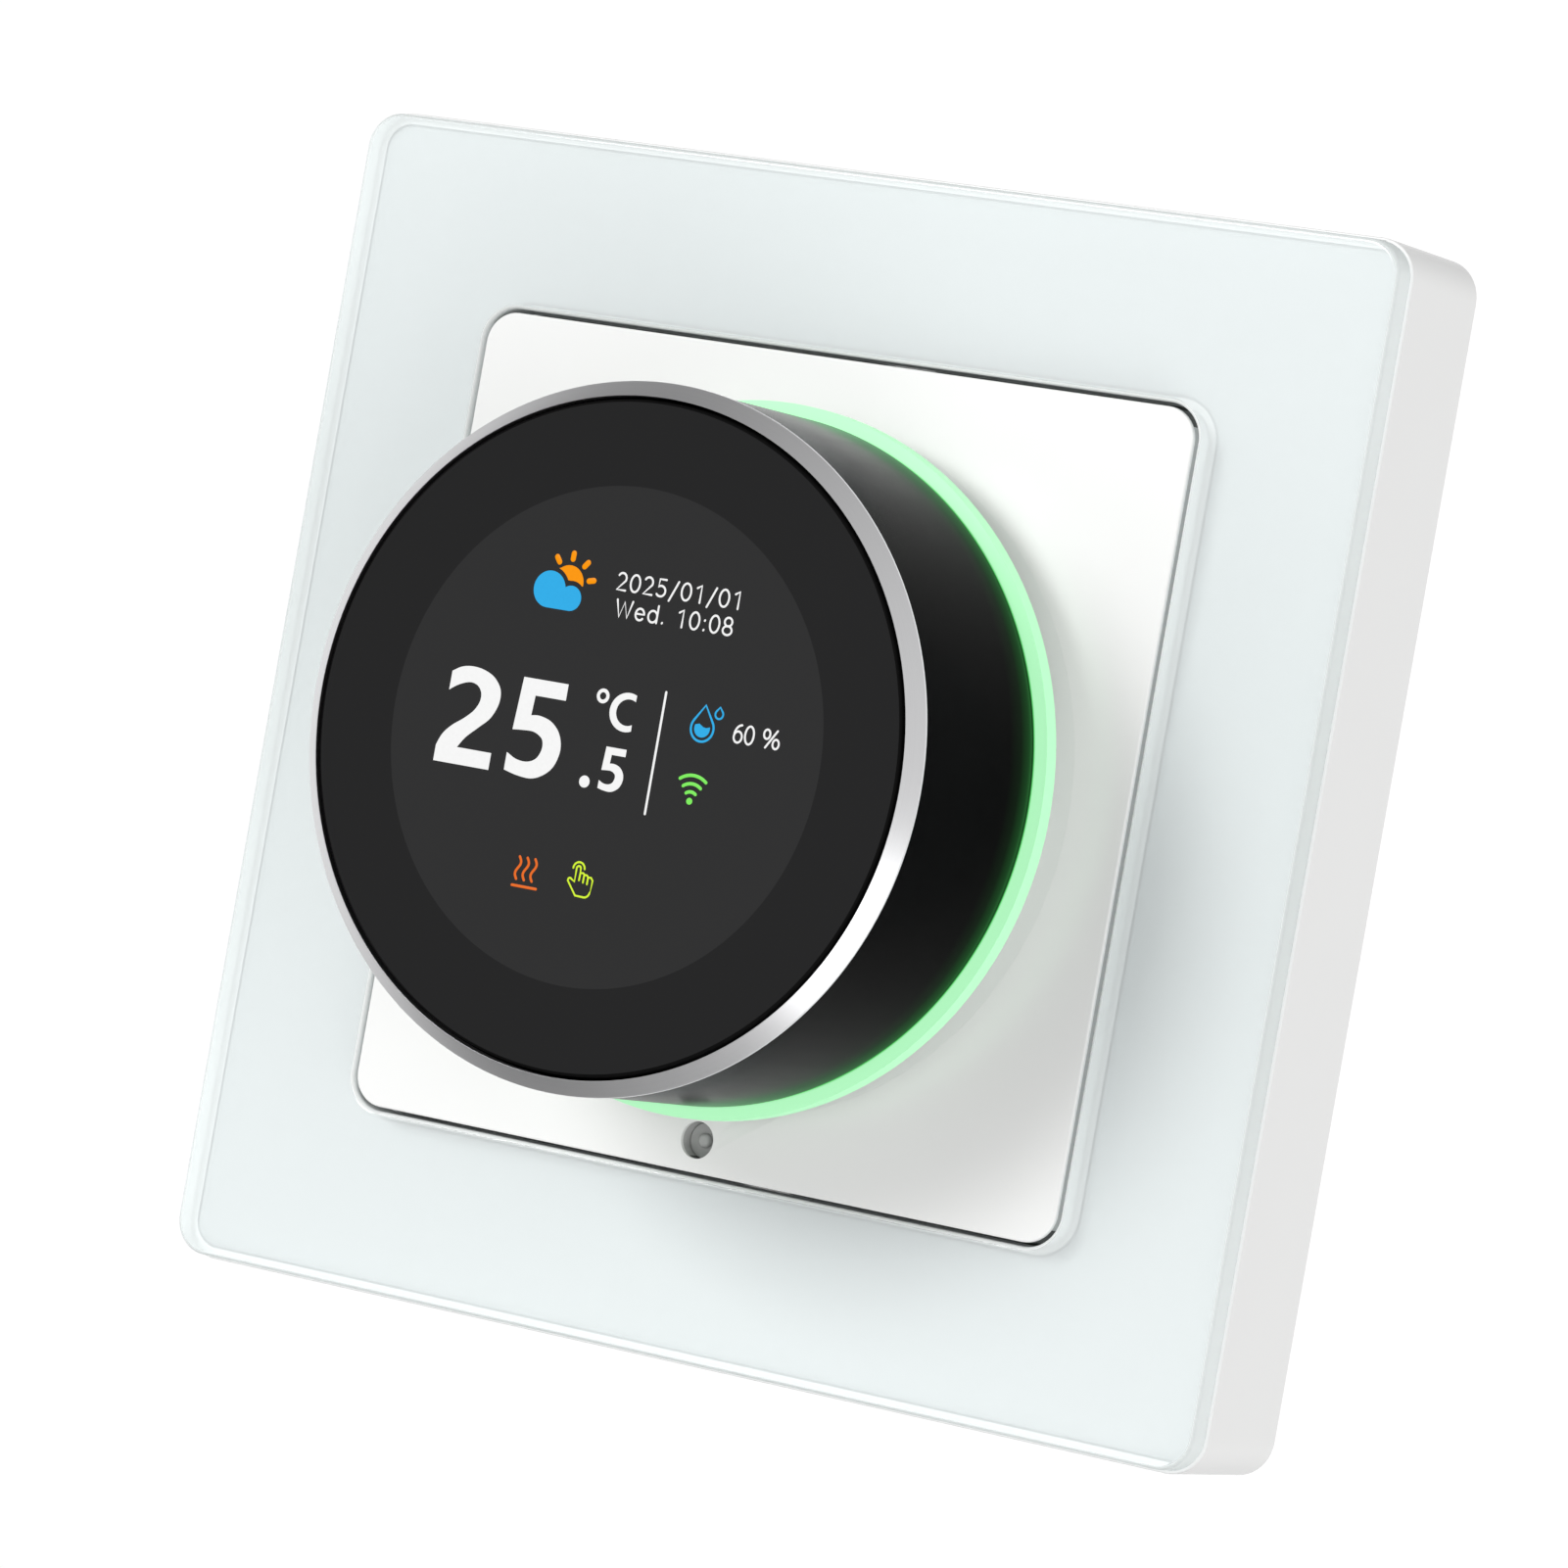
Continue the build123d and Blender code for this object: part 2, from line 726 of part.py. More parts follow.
# Room sensor: a cup with a small dome in the hole below the knob, on two leads from the board
with BuildPart() as room_sensor:
    with BuildSketch(out(board_front)):
        with Locations((0, -sensor_drop)):
            with GridLocations(sensor_bead, 0, 2, 1):
                Circle(sensor_lead)
    extrude(amount=plate_back - board_front)
    with BuildSketch(out(plate_back - sensor_recess)):
        with Locations((0, -sensor_drop)):
            Circle(sensor_bead)
    extrude(amount=insert_plate + sensor_recess - sensor_depth)
    with BuildSketch(out(front_depth - sensor_depth)):
        with Locations((0, -sensor_drop)):
            Circle(sensor_eye)
    extrude(amount=sensor_dome)
    fillet(room_sensor.faces().sort_by(Axis.Y)[0].edges(), radius=sensor_round)
room_sensor.part.label = "room_sensor"
export_step(room_sensor.part, "parts/room_sensor.step")

# Flat cable from the display board down the stem to the front board
with BuildPart() as display_cable:
    cable_level = board_back - cable_drop
    with BuildSketch(Plane.YZ.offset(-cable_width / 2)):
        with BuildLine():
            FilletPolyline(
                (-round_board_back, 0), (-cable_level, 0), (-cable_level, cable_run),
                radius=cable_bend,
            )
        trace(line_width=cable_thick)
    extrude(amount=cable_width)
display_cable.part.label = "display_cable"
export_step(display_cable.part, "parts/display_cable.step")

with BuildPart() as cable_socket:
    with BuildSketch(out(board_back - socket_height)):
        with Locations((0, cable_run + socket_width / 2)):
            Rectangle(socket_length, socket_width)
    extrude(amount=socket_height)
cable_socket.part.label = "cable_socket"
export_step(cable_socket.part, "parts/cable_socket.step")

# Pin plug of the front board and the socket of the power board
pins_length = pin_count * pin_pitch
with BuildPart() as pin_plug:
    with BuildSketch(out(plug_back)):
        with Locations((0, plug_place)):
            Rectangle(pins_length, plug_width)
    extrude(amount=plug_height)
    with BuildSketch(out(socket_front - pin_reach)):
        with Locations((0, plug_place)):
            with GridLocations(pin_pitch, 0, pin_count, 1):
                Rectangle(pin_size, pin_size)
    extrude(amount=pin_reach + plug_gap + weld)
pin_plug.part.label = "pin_plug"
export_step(pin_plug.part, "parts/pin_plug.step")

with BuildPart() as pin_socket:
    with BuildSketch(out(power_front)):
        with Locations((0, plug_place)):
            Rectangle(pins_length, plug_width)
    extrude(amount=socket_front - power_front)
    with BuildSketch(out(socket_front - pin_reach - pin_slack)):
        with Locations((0, plug_place)):
            with GridLocations(pin_pitch, 0, pin_count, 1):
                Rectangle(pin_size + 2 * pin_slack, pin_size + 2 * pin_slack)
    extrude(amount=pin_reach + pin_slack, mode=Mode.SUBTRACT)
pin_socket.part.label = "pin_socket"
export_step(pin_socket.part, "parts/pin_socket.step")

# Steel yoke on the wall, with slots at the wall box pitch and bent tabs for the frame
with BuildPart() as support_yoke:
    with BuildSketch(out(0)):
        RectangleRounded(yoke_size, yoke_size, yoke_corner)
        with BuildSketch(mode=Mode.SUBTRACT) as window:
            Rectangle(yoke_window, yoke_window)
            chamfer(window.vertices(), length=yoke_cut)
        with GridLocations(wall_screw_pitch, 0, 2, 1):
            SlotOverall(wall_slot_length, 2 * wall_slot_radius, mode=Mode.SUBTRACT)
        with GridLocations(0, wall_screw_pitch, 1, 2):
            SlotOverall(wall_slot_length, 2 * wall_slot_radius, rotation=90, mode=Mode.SUBTRACT)
        with GridLocations(2 * unit_screw_place, 2 * unit_screw_place, 2, 2):
            Circle(unit_screw + screw_slack, mode=Mode.SUBTRACT)
    extrude(amount=yoke_thick)
    with BuildSketch(out(yoke_thick)):
        with GridLocations(yoke_size - yoke_thick, 2 * tab_place, 2, 2):
            Rectangle(yoke_thick, tab_width)
    extrude(amount=tab_height - yoke_thick)
support_yoke.part.label = "support_yoke"
export_step(support_yoke.part, "parts/support_yoke.step")

# Rear housing with a step at the bottom for the terminal block
with BuildPart() as rear_housing:
    with BuildSketch(out(-unit_depth)) as unit_outline:
        Rectangle(unit_size, unit_size)
        chamfer(unit_outline.vertices(), length=unit_cut)
    extrude(amount=unit_depth)
    fillet(rear_housing.edges().group_by(Axis.Y)[-1], radius=unit_edge)
    step_top = block_bottom + block_height + block_fit
    step_front = block_front + block_fit
    step_width = block_length + 2 * block_fit
    with BuildSketch(out(-unit_depth)):
        with Locations((0, step_top)):
            Rectangle(step_width, unit_size, align=(Align.CENTER, Align.MAX))
    extrude(amount=unit_depth + step_front, mode=Mode.SUBTRACT)
    cavity_cut = unit_cut - unit_wall * (2 - 2 ** 0.5)
    with BuildSketch(out(step_front + unit_wall)) as cavity:
        Rectangle(unit_inside, unit_inside)
        chamfer(cavity.vertices(), length=cavity_cut)
    extrude(amount=-step_front - unit_wall, mode=Mode.SUBTRACT)
    with BuildSketch(out(unit_wall - unit_depth)) as deep_cavity:
        Rectangle(unit_inside, unit_inside)
        chamfer(deep_cavity.vertices(), length=cavity_cut)
        with Locations((0, step_top + unit_wall)):
            Rectangle(
                step_width + 2 * unit_wall, unit_size, align=(Align.CENTER, Align.MAX), mode=Mode.SUBTRACT
            )
    extrude(amount=unit_depth + step_front, mode=Mode.SUBTRACT)
    with BuildSketch(out(-unit_boss_length)):
        with GridLocations(2 * unit_screw_place, 2 * unit_screw_place, 2, 2):
            Circle(unit_boss)
    extrude(amount=unit_boss_length)
    with BuildSketch(out(-unit_screw_grip - screw_slack)):
        with GridLocations(2 * unit_screw_place, 2 * unit_screw_place, 2, 2):
            Circle(unit_screw + screw_slack)
    extrude(amount=unit_screw_grip + screw_slack, mode=Mode.SUBTRACT)
    with BuildSketch(out(step_front + unit_wall)):
        with GridLocations(unit_inside - rail_width + weld, 0, 2, 1):
            Rectangle(rail_width + weld, rail_length)
    extrude(amount=power_back - step_front - unit_wall)
    with BuildSketch(out(step_front)):
        with Locations((0, block_middle)):
            with GridLocations(way_pitch, 0, way_count, 1):
                Rectangle(tail_size + 2 * clamp_fit, tail_size + 2 * clamp_fit)
    extrude(amount=unit_wall, mode=Mode.SUBTRACT)
rear_housing.part.label = "rear_housing"
export_step(rear_housing.part, "parts/rear_housing.step")

with BuildPart() as unit_screws:
    with BuildSketch(out(yoke_thick)):
        with GridLocations(2 * unit_screw_place, 2 * unit_screw_place, 2, 2):
            Circle(unit_head)
    extrude(amount=unit_head_height)
    with BuildSketch(out(-unit_screw_grip)):
        with GridLocations(2 * unit_screw_place, 2 * unit_screw_place, 2, 2):
            Circle(unit_screw)
    extrude(amount=unit_screw_grip + yoke_thick)
unit_screws.part.label = "unit_screws"
export_step(unit_screws.part, "parts/unit_screws.step")

# Lid of the rear unit, held under the yoke
with BuildPart() as unit_lid:
    with BuildSketch(out(-lid_thick)) as lid_outline:
        lid_size = unit_inside - 2 * lid_clear
        Rectangle(lid_size, lid_size)
        chamfer(lid_outline.vertices(), length=power_board_cut)
        with Locations((0, plug_place)):
            Rectangle(
                pins_length + 2 * lid_slot_clear, plug_width + 2 * lid_slot_clear, mode=Mode.SUBTRACT
            )
    extrude(amount=lid_thick)
unit_lid.part.label = "unit_lid"
export_step(unit_lid.part, "parts/unit_lid.step")

with BuildPart() as power_board:
    with BuildSketch(out(power_back)) as power_outline:
        Rectangle(lid_size, lid_size)
        chamfer(power_outline.vertices(), length=power_board_cut)
    extrude(amount=power_board_thick)
power_board.part.label = "power_board"
export_step(power_board.part, "parts/power_board.step")

with BuildPart() as relay:
    with BuildSketch(out(power_back - relay_height)):
        with Locations((relay_x, relay_z)):
            Rectangle(relay_length, relay_width)
    extrude(amount=relay_height)
    fillet(relay.edges().filter_by(Axis.Y), radius=relay_edge)
    fillet(relay.faces().sort_by(Axis.Y)[-1].edges(), radius=relay_edge / 2)
relay.part.label = "relay"
export_step(relay.part, "parts/relay.step")

# Small transformer: a core of two windows and the winding on its middle leg
with BuildPart() as transformer_core:
    window_width_core = (core_width - 3 * core_leg) / 2
    window_height_core = core_height - 2 * core_leg
    with BuildSketch(Plane.XZ.offset(power_back - core_height)):
        with Locations((core_x, core_z)):
            Rectangle(core_width, core_depth)
    extrude(amount=core_height)
    window_centre = -(power_back - core_height / 2)
    with BuildSketch(Plane.XY.offset(core_z - core_depth)):
        with Locations((core_x, window_centre)):
            with GridLocations(core_leg + window_width_core, 0, 2, 1):
                Rectangle(window_width_core, window_height_core)
    extrude(amount=2 * core_depth, mode=Mode.SUBTRACT)
transformer_core.part.label = "transformer_core"
export_step(transformer_core.part, "parts/transformer_core.step")

with BuildPart() as transformer_coil:
    coil_size = core_leg + 2 * coil_wrap
    coil_deep = core_depth + 2 * coil_wrap
    coil_low = power_back - core_height + core_leg + clamp_fit
    with BuildSketch(out(coil_low)):
        with Locations((core_x, core_z)):
            RectangleRounded(coil_size, coil_deep, coil_round)
            Rectangle(core_leg + 2 * clamp_fit, core_depth + 2 * clamp_fit, mode=Mode.SUBTRACT)
    extrude(amount=window_height_core - 2 * clamp_fit)
transformer_coil.part.label = "transformer_coil"
export_step(transformer_coil.part, "parts/transformer_coil.step")

with BuildPart() as capacitor:
    with BuildSketch(out(power_back - can_length)):
        with Locations((can_x, can_z)):
            Circle(can_radius)
    extrude(amount=can_length)
    fillet(capacitor.edges().group_by(Axis.Y)[-1], radius=can_edge)
capacitor.part.label = "capacitor"
export_step(capacitor.part, "parts/capacitor.step")

# Terminal block in the step of the rear housing: wires from below, screws from behind
with BuildPart() as terminal_block:
    with BuildSketch(out(block_back)):
        with Locations((0, block_middle)):
            Rectangle(block_length, block_height)
    extrude(amount=block_depth)
    with BuildSketch(Plane.XY.offset(block_bottom)):
        with Locations((0, -wire_level)):
            with GridLocations(way_pitch, 0, way_count, 1):
                Rectangle(wire_hole, wire_hole)
    extrude(amount=wire_depth, mode=Mode.SUBTRACT)
    with BuildSketch(out(block_back)):
        with Locations((0, block_middle)):
            with GridLocations(way_pitch, 0, way_count, 1):
                Circle(terminal_head + clamp_fit)
    extrude(amount=wire_level - block_back, mode=Mode.SUBTRACT)
    with BuildSketch(out(wire_level)):
        with Locations((0, block_middle)):
            with GridLocations(way_pitch, 0, way_count, 1):
                Rectangle(tail_size + 2 * clamp_fit, tail_size + 2 * clamp_fit)
    extrude(amount=block_depth, mode=Mode.SUBTRACT)
terminal_block.part.label = "terminal_block"
export_step(terminal_block.part, "parts/terminal_block.step")

# Brass clamps: a square sleeve for each wire with a tail to the power board
with BuildPart() as terminal_clamps:
    clamp_size = wire_hole - 2 * clamp_fit
    with BuildSketch(Plane.XY.offset(block_bottom + clamp_inset)):
        with Locations((0, -wire_level)):
            with GridLocations(way_pitch, 0, way_count, 1):
                Rectangle(clamp_size, clamp_size)
                Rectangle(clamp_size - 2 * clamp_wall, clamp_size - 2 * clamp_wall, mode=Mode.SUBTRACT)
    extrude(amount=clamp_length)
    with BuildSketch(out(wire_level + clamp_size / 2 - clamp_wall)):
        with Locations((0, block_middle)):
            with GridLocations(way_pitch, 0, way_count, 1):
                Rectangle(tail_size, tail_size)
    extrude(amount=power_back - wire_level - clamp_size / 2 + clamp_wall)
    with BuildSketch(out(block_back)):
        with Locations((0, block_middle)):
            with GridLocations(way_pitch, 0, way_count, 1):
                Circle(terminal_screw + clamp_fit)
    extrude(amount=wire_level - block_back, mode=Mode.SUBTRACT)
terminal_clamps.part.label = "terminal_clamps"
export_step(terminal_clamps.part, "parts/terminal_clamps.step")

with BuildPart() as terminal_screws:
    head_back = block_back + terminal_sink
    head_front = wire_level - clamp_size / 2 - 2 * clamp_fit
    with BuildSketch(out(head_back)):
        with Locations((0, block_middle)):
            with GridLocations(way_pitch, 0, way_count, 1):
                Circle(terminal_head)
    extrude(amount=head_front - head_back)
    with BuildSketch(out(head_front)):
        with Locations((0, block_middle)):
            with GridLocations(way_pitch, 0, way_count, 1):
                Circle(terminal_screw)
    extrude(amount=clamp_wall + terminal_slot)
    with BuildSketch(out(head_back)):
        with Locations((0, block_middle)):
            with GridLocations(way_pitch, 0, way_count, 1):
                Rectangle(2 * terminal_head, terminal_slot)
    extrude(amount=terminal_slot, mode=Mode.SUBTRACT)
terminal_screws.part.label = "terminal_screws"
export_step(terminal_screws.part, "parts/terminal_screws.step")
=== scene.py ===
"""Looks of a flush wall thermostat with a turning, pressing knob.

Run as a script, the file registers its operators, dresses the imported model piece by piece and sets
the stage. Depths are measured out from the wall plane.
"""
import math

import bmesh
import bpy
from bpy.props import FloatProperty, FloatVectorProperty, IntProperty, PointerProperty
from bpy.types import Operator, Panel, PropertyGroup
from mathutils import Matrix, Vector


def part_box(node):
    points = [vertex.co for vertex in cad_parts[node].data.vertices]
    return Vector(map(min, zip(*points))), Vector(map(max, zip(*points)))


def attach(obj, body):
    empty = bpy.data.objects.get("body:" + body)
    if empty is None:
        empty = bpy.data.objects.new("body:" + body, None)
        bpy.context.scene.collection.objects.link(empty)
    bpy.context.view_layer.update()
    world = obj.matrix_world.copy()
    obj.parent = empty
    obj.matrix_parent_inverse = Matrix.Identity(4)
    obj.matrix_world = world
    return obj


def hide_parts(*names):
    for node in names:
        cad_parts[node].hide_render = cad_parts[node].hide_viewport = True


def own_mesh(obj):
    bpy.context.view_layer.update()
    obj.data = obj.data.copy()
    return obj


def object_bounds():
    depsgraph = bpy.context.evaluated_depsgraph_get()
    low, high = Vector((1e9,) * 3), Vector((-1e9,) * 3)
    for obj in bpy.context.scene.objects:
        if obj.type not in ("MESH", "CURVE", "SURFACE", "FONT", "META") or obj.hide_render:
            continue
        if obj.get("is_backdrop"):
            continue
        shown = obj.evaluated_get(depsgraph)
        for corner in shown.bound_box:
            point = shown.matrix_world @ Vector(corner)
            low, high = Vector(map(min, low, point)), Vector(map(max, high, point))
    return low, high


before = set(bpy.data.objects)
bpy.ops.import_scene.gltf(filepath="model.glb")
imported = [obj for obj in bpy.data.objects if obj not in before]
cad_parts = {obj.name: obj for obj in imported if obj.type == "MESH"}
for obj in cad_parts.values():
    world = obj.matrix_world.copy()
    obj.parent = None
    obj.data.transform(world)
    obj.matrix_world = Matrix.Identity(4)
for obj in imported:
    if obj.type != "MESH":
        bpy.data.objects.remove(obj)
cad_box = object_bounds()

bl_info = {
    "name": "Wall thermostat looks",
    "version": (1, 0, 0),
    "blender": (4, 5, 0),
    "location": "View3D > Sidebar > Thermostat",
    "description": "Dresses the packed wall thermostat and sets a plain studio round it",
    "category": "Object",
}

MM = 0.001
WALL_TO_ROOM = (math.pi / 2, 0, 0)
MODEL_MERGE = 1e-7
PACKED_MERGE = 1e-6
PACKED_FLAT = math.radians(0.2)
SMOOTH_ANGLE = math.radians(35)
ROUNDED_ANGLE = math.radians(30)
PICKED_ANGLE = math.radians(40)
PICKED_DEPTH = 0.01 * MM
GLASS_EDGE_STEPS = 5
RIM_STEPS = 3
CLOUD_LARGE, CLOUD_SMALL = (-5.98, 8.8), (-4.31, 8.42)


def size(name, description, millimetres):
    """Length property that is given in millimetres."""
    return FloatProperty(name=name, description=description, default=millimetres * MM, unit="LENGTH")


def colour(name, description, default):
    """Colour property with a plain linear default."""
    return FloatVectorProperty(
        name=name, description=description, default=default, subtype="COLOR", size=3, min=0, max=1
    )


def amount(name, description, default, **limits):
    """Number property, with its unit or limits where it has them."""
    return FloatProperty(name=name, description=description, default=default, **limits)


def faces(name, description, default, least):
    """Property for a number of faces."""
    return IntProperty(name=name, description=description, default=default, min=least)


def spot(name, description, default):
    """Place property in metres."""
    return FloatVectorProperty(
        name=name, description=description, default=default, subtype="TRANSLATION", size=3
    )


class ThermostatSizes(PropertyGroup):
    """Sizes of the edges, the readings and the lit parts."""

    glass_edge: size("Glass edge", "Rounding of the front edges of the glass", 0.35)
    glass_flat: size("Glass flat", "Depth of the polished front of the glass", 0.02)
    glass_corner: size("Glass corner", "Radius of the glass's outer corners", 2.4)
    glass_bond: size("Glass bond", "How far the glass reaches into the print bonded to it", 0.05)
    insert_corner: size("Insert corner", "Radius of the insert's corners", 2.2)
    insert_gap: size("Insert gap", "Slit between the insert and the glass", 0.28)
    ring_wall: size("Ring wall", "Thickness of the light ring", 2.7)
    ring_step: size("Ring step", "Height of the tube on the light ring", 1.1)
    ring_flare: size("Ring flare", "How far the ring's rim stands out over its foot", 0.54)
    ring_rim: size("Ring rim", "Thickness of the ring's rim", 1.23)
    ring_inset: size("Ring inset", "How far the tube stands in from the ring's foot", 1.6)
    ring_seat: size("Ring seat", "Clearance of the ring's foot in the insert", 0.03)
    ring_waist: size("Ring waist", "How far the ring's wall stands in under its rim", 2.05)
    ring_edge: size("Ring edge", "Rounding of the light ring's rims", 0.03)
    # Behind this depth the insert's flanks get painted shade.
    insert_shade_depth: size("Insert lit", "Depth of the insert's edges that still catch the light", 0.3)
    # The darker line along the print's edges is painted shade.
    film_edge_shade: size("Film line", "Width of the darker line along the print's edges", 0.16)
    lens_rim: size("Lens rim", "Width of the lens's blunt black rim", 0.2)
    press_travel: size("Press travel", "How far the head can be pressed", 0.3)
    skirt_wall: size("Skirt wall", "Thickness of the knob's skirt", 1.0)
    collar_reach: size("Collar reach", "How far the bearing collar stands into the skirt", 1.75)
    collar_back: size("Collar back", "Depth of the collar's back", 23.77)
    collar_front: size("Collar front", "Depth of the collar's front", 29.03)
    skirt_edge: size("Skirt edge", "Rounding of the skirt's rims", 0.12)
    spill_reach: size("Spill reach", "How far the ring's light climbs the skirt", 3.0)
    bezel_wall: size("Bezel wall", "Thickness of the bezel", 1.07)
    bezel_drop: size("Bezel drop", "Fall of the bezel's sloping front", 0.86)
    bezel_edge: size("Bezel edge", "Rounding of the bezel's rims", 0.06)
    display_radius: size("Display radius", "Lit circle seen through the lens", 16.2)
    reading_proud: size("Reading height", "How far the readings stand on the lens", 0.02)
    fine_line: size("Fine line", "Width of the thin icon lines", 0.13)
    broad_line: size("Broad line", "Width of the broad icon lines", 0.2)
    text_line: size("Text line", "Width of the lines of the small readings", 0.14)
    turn_sides: faces("Turned sides", "Faces round a turned piece", 192, 48)
    corner_steps: faces("Corner steps", "Faces round a square's corner", 20, 4)


class ThermostatColours(PropertyGroup):
    """Colours of the finishes and the readings."""

    glass: colour("Glass", "Tint of the milky front plate", (0.87, 0.90, 0.902))
    glass_cut: colour("Glass edge", "Tint of the plate's ground edges", (0.90, 0.92, 0.915))
    film: colour("Film", "White print behind the glass", (0.895, 0.925, 0.928))
    shell: colour("Shell", "White mouldings", (0.90, 0.90, 0.895))
    insert: colour("Insert", "White of the insert", (0.93, 0.935, 0.925))
    glow: colour("Glow", "Light of the ring", (0.42, 0.86, 0.50))
    bounce: colour("Bounce", "White of the ring's wall under its rim", (0.87, 0.88, 0.87))
    halo: colour("Halo", "Light that the ring throws on the parts round it", (0.53, 0.63, 0.54))
    spill: colour("Spill", "The ring's light on the skirt", (0.15, 1.0, 0.22))
    skirt: colour("Skirt", "Black of the knob's skirt", (0.002, 0.002, 0.0021))
    bezel: colour("Bezel", "Silver of the knob's bezel", (0.84, 0.84, 0.85))
    lens: colour("Lens", "Smoked lens outside the display", (0.0172, 0.0172, 0.0176))
    display: colour("Display", "Unlit display circle", (0.027, 0.027, 0.0275))
    white: colour("White reading", "Readings in white", (0.95, 0.95, 0.95))
    blue: colour("Blue reading", "Cloud and drop", (0.03, 0.43, 0.83))
    orange: colour("Orange reading", "Sun", (1.0, 0.32, 0.0))
    green: colour("Green reading", "Signal arcs", (0.22, 0.87, 0.12))
    red: colour("Red reading", "Heat sign", (0.85, 0.16, 0.02))
    lime: colour("Lime reading", "Hand sign", (0.70, 0.95, 0.04))
    sensor: colour("Sensor", "Resin of the room sensor", (0.46, 0.465, 0.46))
    moulding: colour("Moulding", "Black mouldings inside", (0.025, 0.025, 0.026))
    acetal: colour("Acetal", "Natural gears and plunger", (0.78, 0.75, 0.68))
    resist: colour("Resist", "Solder resist of the boards", (0.015, 0.12, 0.05))
    spring: colour("Spring", "Spring steel", (0.42, 0.43, 0.45))
    screws: colour("Screws", "Plated screws of the boards and the unit", (0.62, 0.63, 0.64))
    lamps: colour("Lamps", "Resin of the lamps under the ring", (0.85, 0.83, 0.55))
    amber: colour("Amber", "Film of the flat cable", (0.45, 0.20, 0.03))
    panel: colour("Panel", "Glass of the display panel", (0.02, 0.02, 0.022))
    yoke: colour("Yoke", "Plated steel of the yoke", (0.60, 0.61, 0.62))
    housing: colour("Housing", "Grey of the boxed unit", (0.66, 0.66, 0.65))
    terminals: colour("Terminals", "Green of the terminal block", (0.03, 0.24, 0.12))
    terminal_screws: colour("Terminal screws", "Plating of the terminal screws", (0.66, 0.66, 0.64))
    clamps: colour("Clamps", "Brass of the terminal clamps", (0.68, 0.50, 0.20))
    relay: colour("Relay", "Case of the relay", (0.02, 0.07, 0.28))
    ferrite: colour("Ferrite", "Core of the transformer", (0.04, 0.04, 0.042))
    tape: colour("Tape", "Tape round the coil", (0.70, 0.50, 0.06))
    sleeve: colour("Sleeve", "Sleeve of the capacitor", (0.02, 0.02, 0.035))
    floor: colour("Floor", "Pale floor", (0.8, 0.8, 0.8))


class ThermostatStage(PropertyGroup):
    """Lamps, surroundings and camera."""

    key_place: spot("Key place", "Lamp at the upper left", (-0.6, -1.28, 0.5))
    key_width: amount("Key width", "Side of that lamp", 0.5, unit="LENGTH")
    key_power: amount("Key power", "Strength of that lamp", 9.5, unit="POWER")
    fill_place: spot("Fill place", "Lamp at the lower right", (0.47, -0.51, -0.44))
    fill_width: amount("Fill width", "Side of that lamp", 0.45, unit="LENGTH")
    fill_power: amount("Fill power", "Strength of that lamp", 1.2, unit="POWER")
    sky_light: amount("Sky light", "Soft light from all round", 1.09, min=0)
    sky_lean: amount("Sky lean", "How much paler the sky is at the right", 0.1)
    sky_fall: amount("Sky fall", "How much greyer the sky is overhead and underfoot", 1.5, min=0)
    gloss_light: amount("Gloss light", "Sky in the glossy parts", 0.376, min=0)
    gloss_lean: amount("Gloss lean", "How much paler that is at the right", 0.38)
    floor_reach: amount("Floor reach", "Radius of the pale floor", 0.5, unit="LENGTH")
    floor_drop: amount("Floor drop", "How far the floor lies under the part", 1.4, unit="LENGTH")
    floor_sides: faces("Floor sides", "Edges round the floor", 96, 12)
    focal_length: amount("Focal length", "Lens of the camera in millimetres", 170.81)
    sensor_width: amount("Sensor width", "Width of the camera's film in millimetres", 36.0)
    camera_roll: amount("Camera roll", "Tilt of the camera", math.radians(10.03), subtype="ANGLE")
    camera_place: spot("Camera place", "Where the camera stands", (0.250946, -0.437641, -0.000223))
    camera_aim: spot("Camera aim", "Point in the middle of the picture", (0.00182, -0.01135, -0.00098))


class Value:
    """Socket of a finish. Arithmetic on it adds Math nodes."""

    def __init__(self, finish, socket):
        self.finish = finish
        self.socket = socket

    def math(self, operation, first, second=0.0):
        return self.finish.node("ShaderNodeMath", {"operation": operation}, {0: first, 1: second})

    def __add__(self, other):
        return self.math("ADD", self, other)

    def __radd__(self, other):
        return self.math("ADD", other, self)

    def __sub__(self, other):
        return self.math("SUBTRACT", self, other)

    def __rsub__(self, other):
        return self.math("SUBTRACT", other, self)

    def __mul__(self, other):
        return self.math("MULTIPLY", self, other)

    def __rmul__(self, other):
        return self.math("MULTIPLY", other, self)

    def __truediv__(self, other):
        return self.math("DIVIDE", self, other)

    def __pow__(self, other):
        return self.math("POWER", self, other)

    def __lt__(self, other):
        return self.math("LESS_THAN", self, other)

    def __gt__(self, other):
        return self.math("GREATER_THAN", self, other)

    def ramp(self, start, end):
        """Rise from 0 to 1 between two values."""
        return self.finish.node(
            "ShaderNodeMapRange", inputs={"Value": self, "From Min": start, "From Max": end}
        )


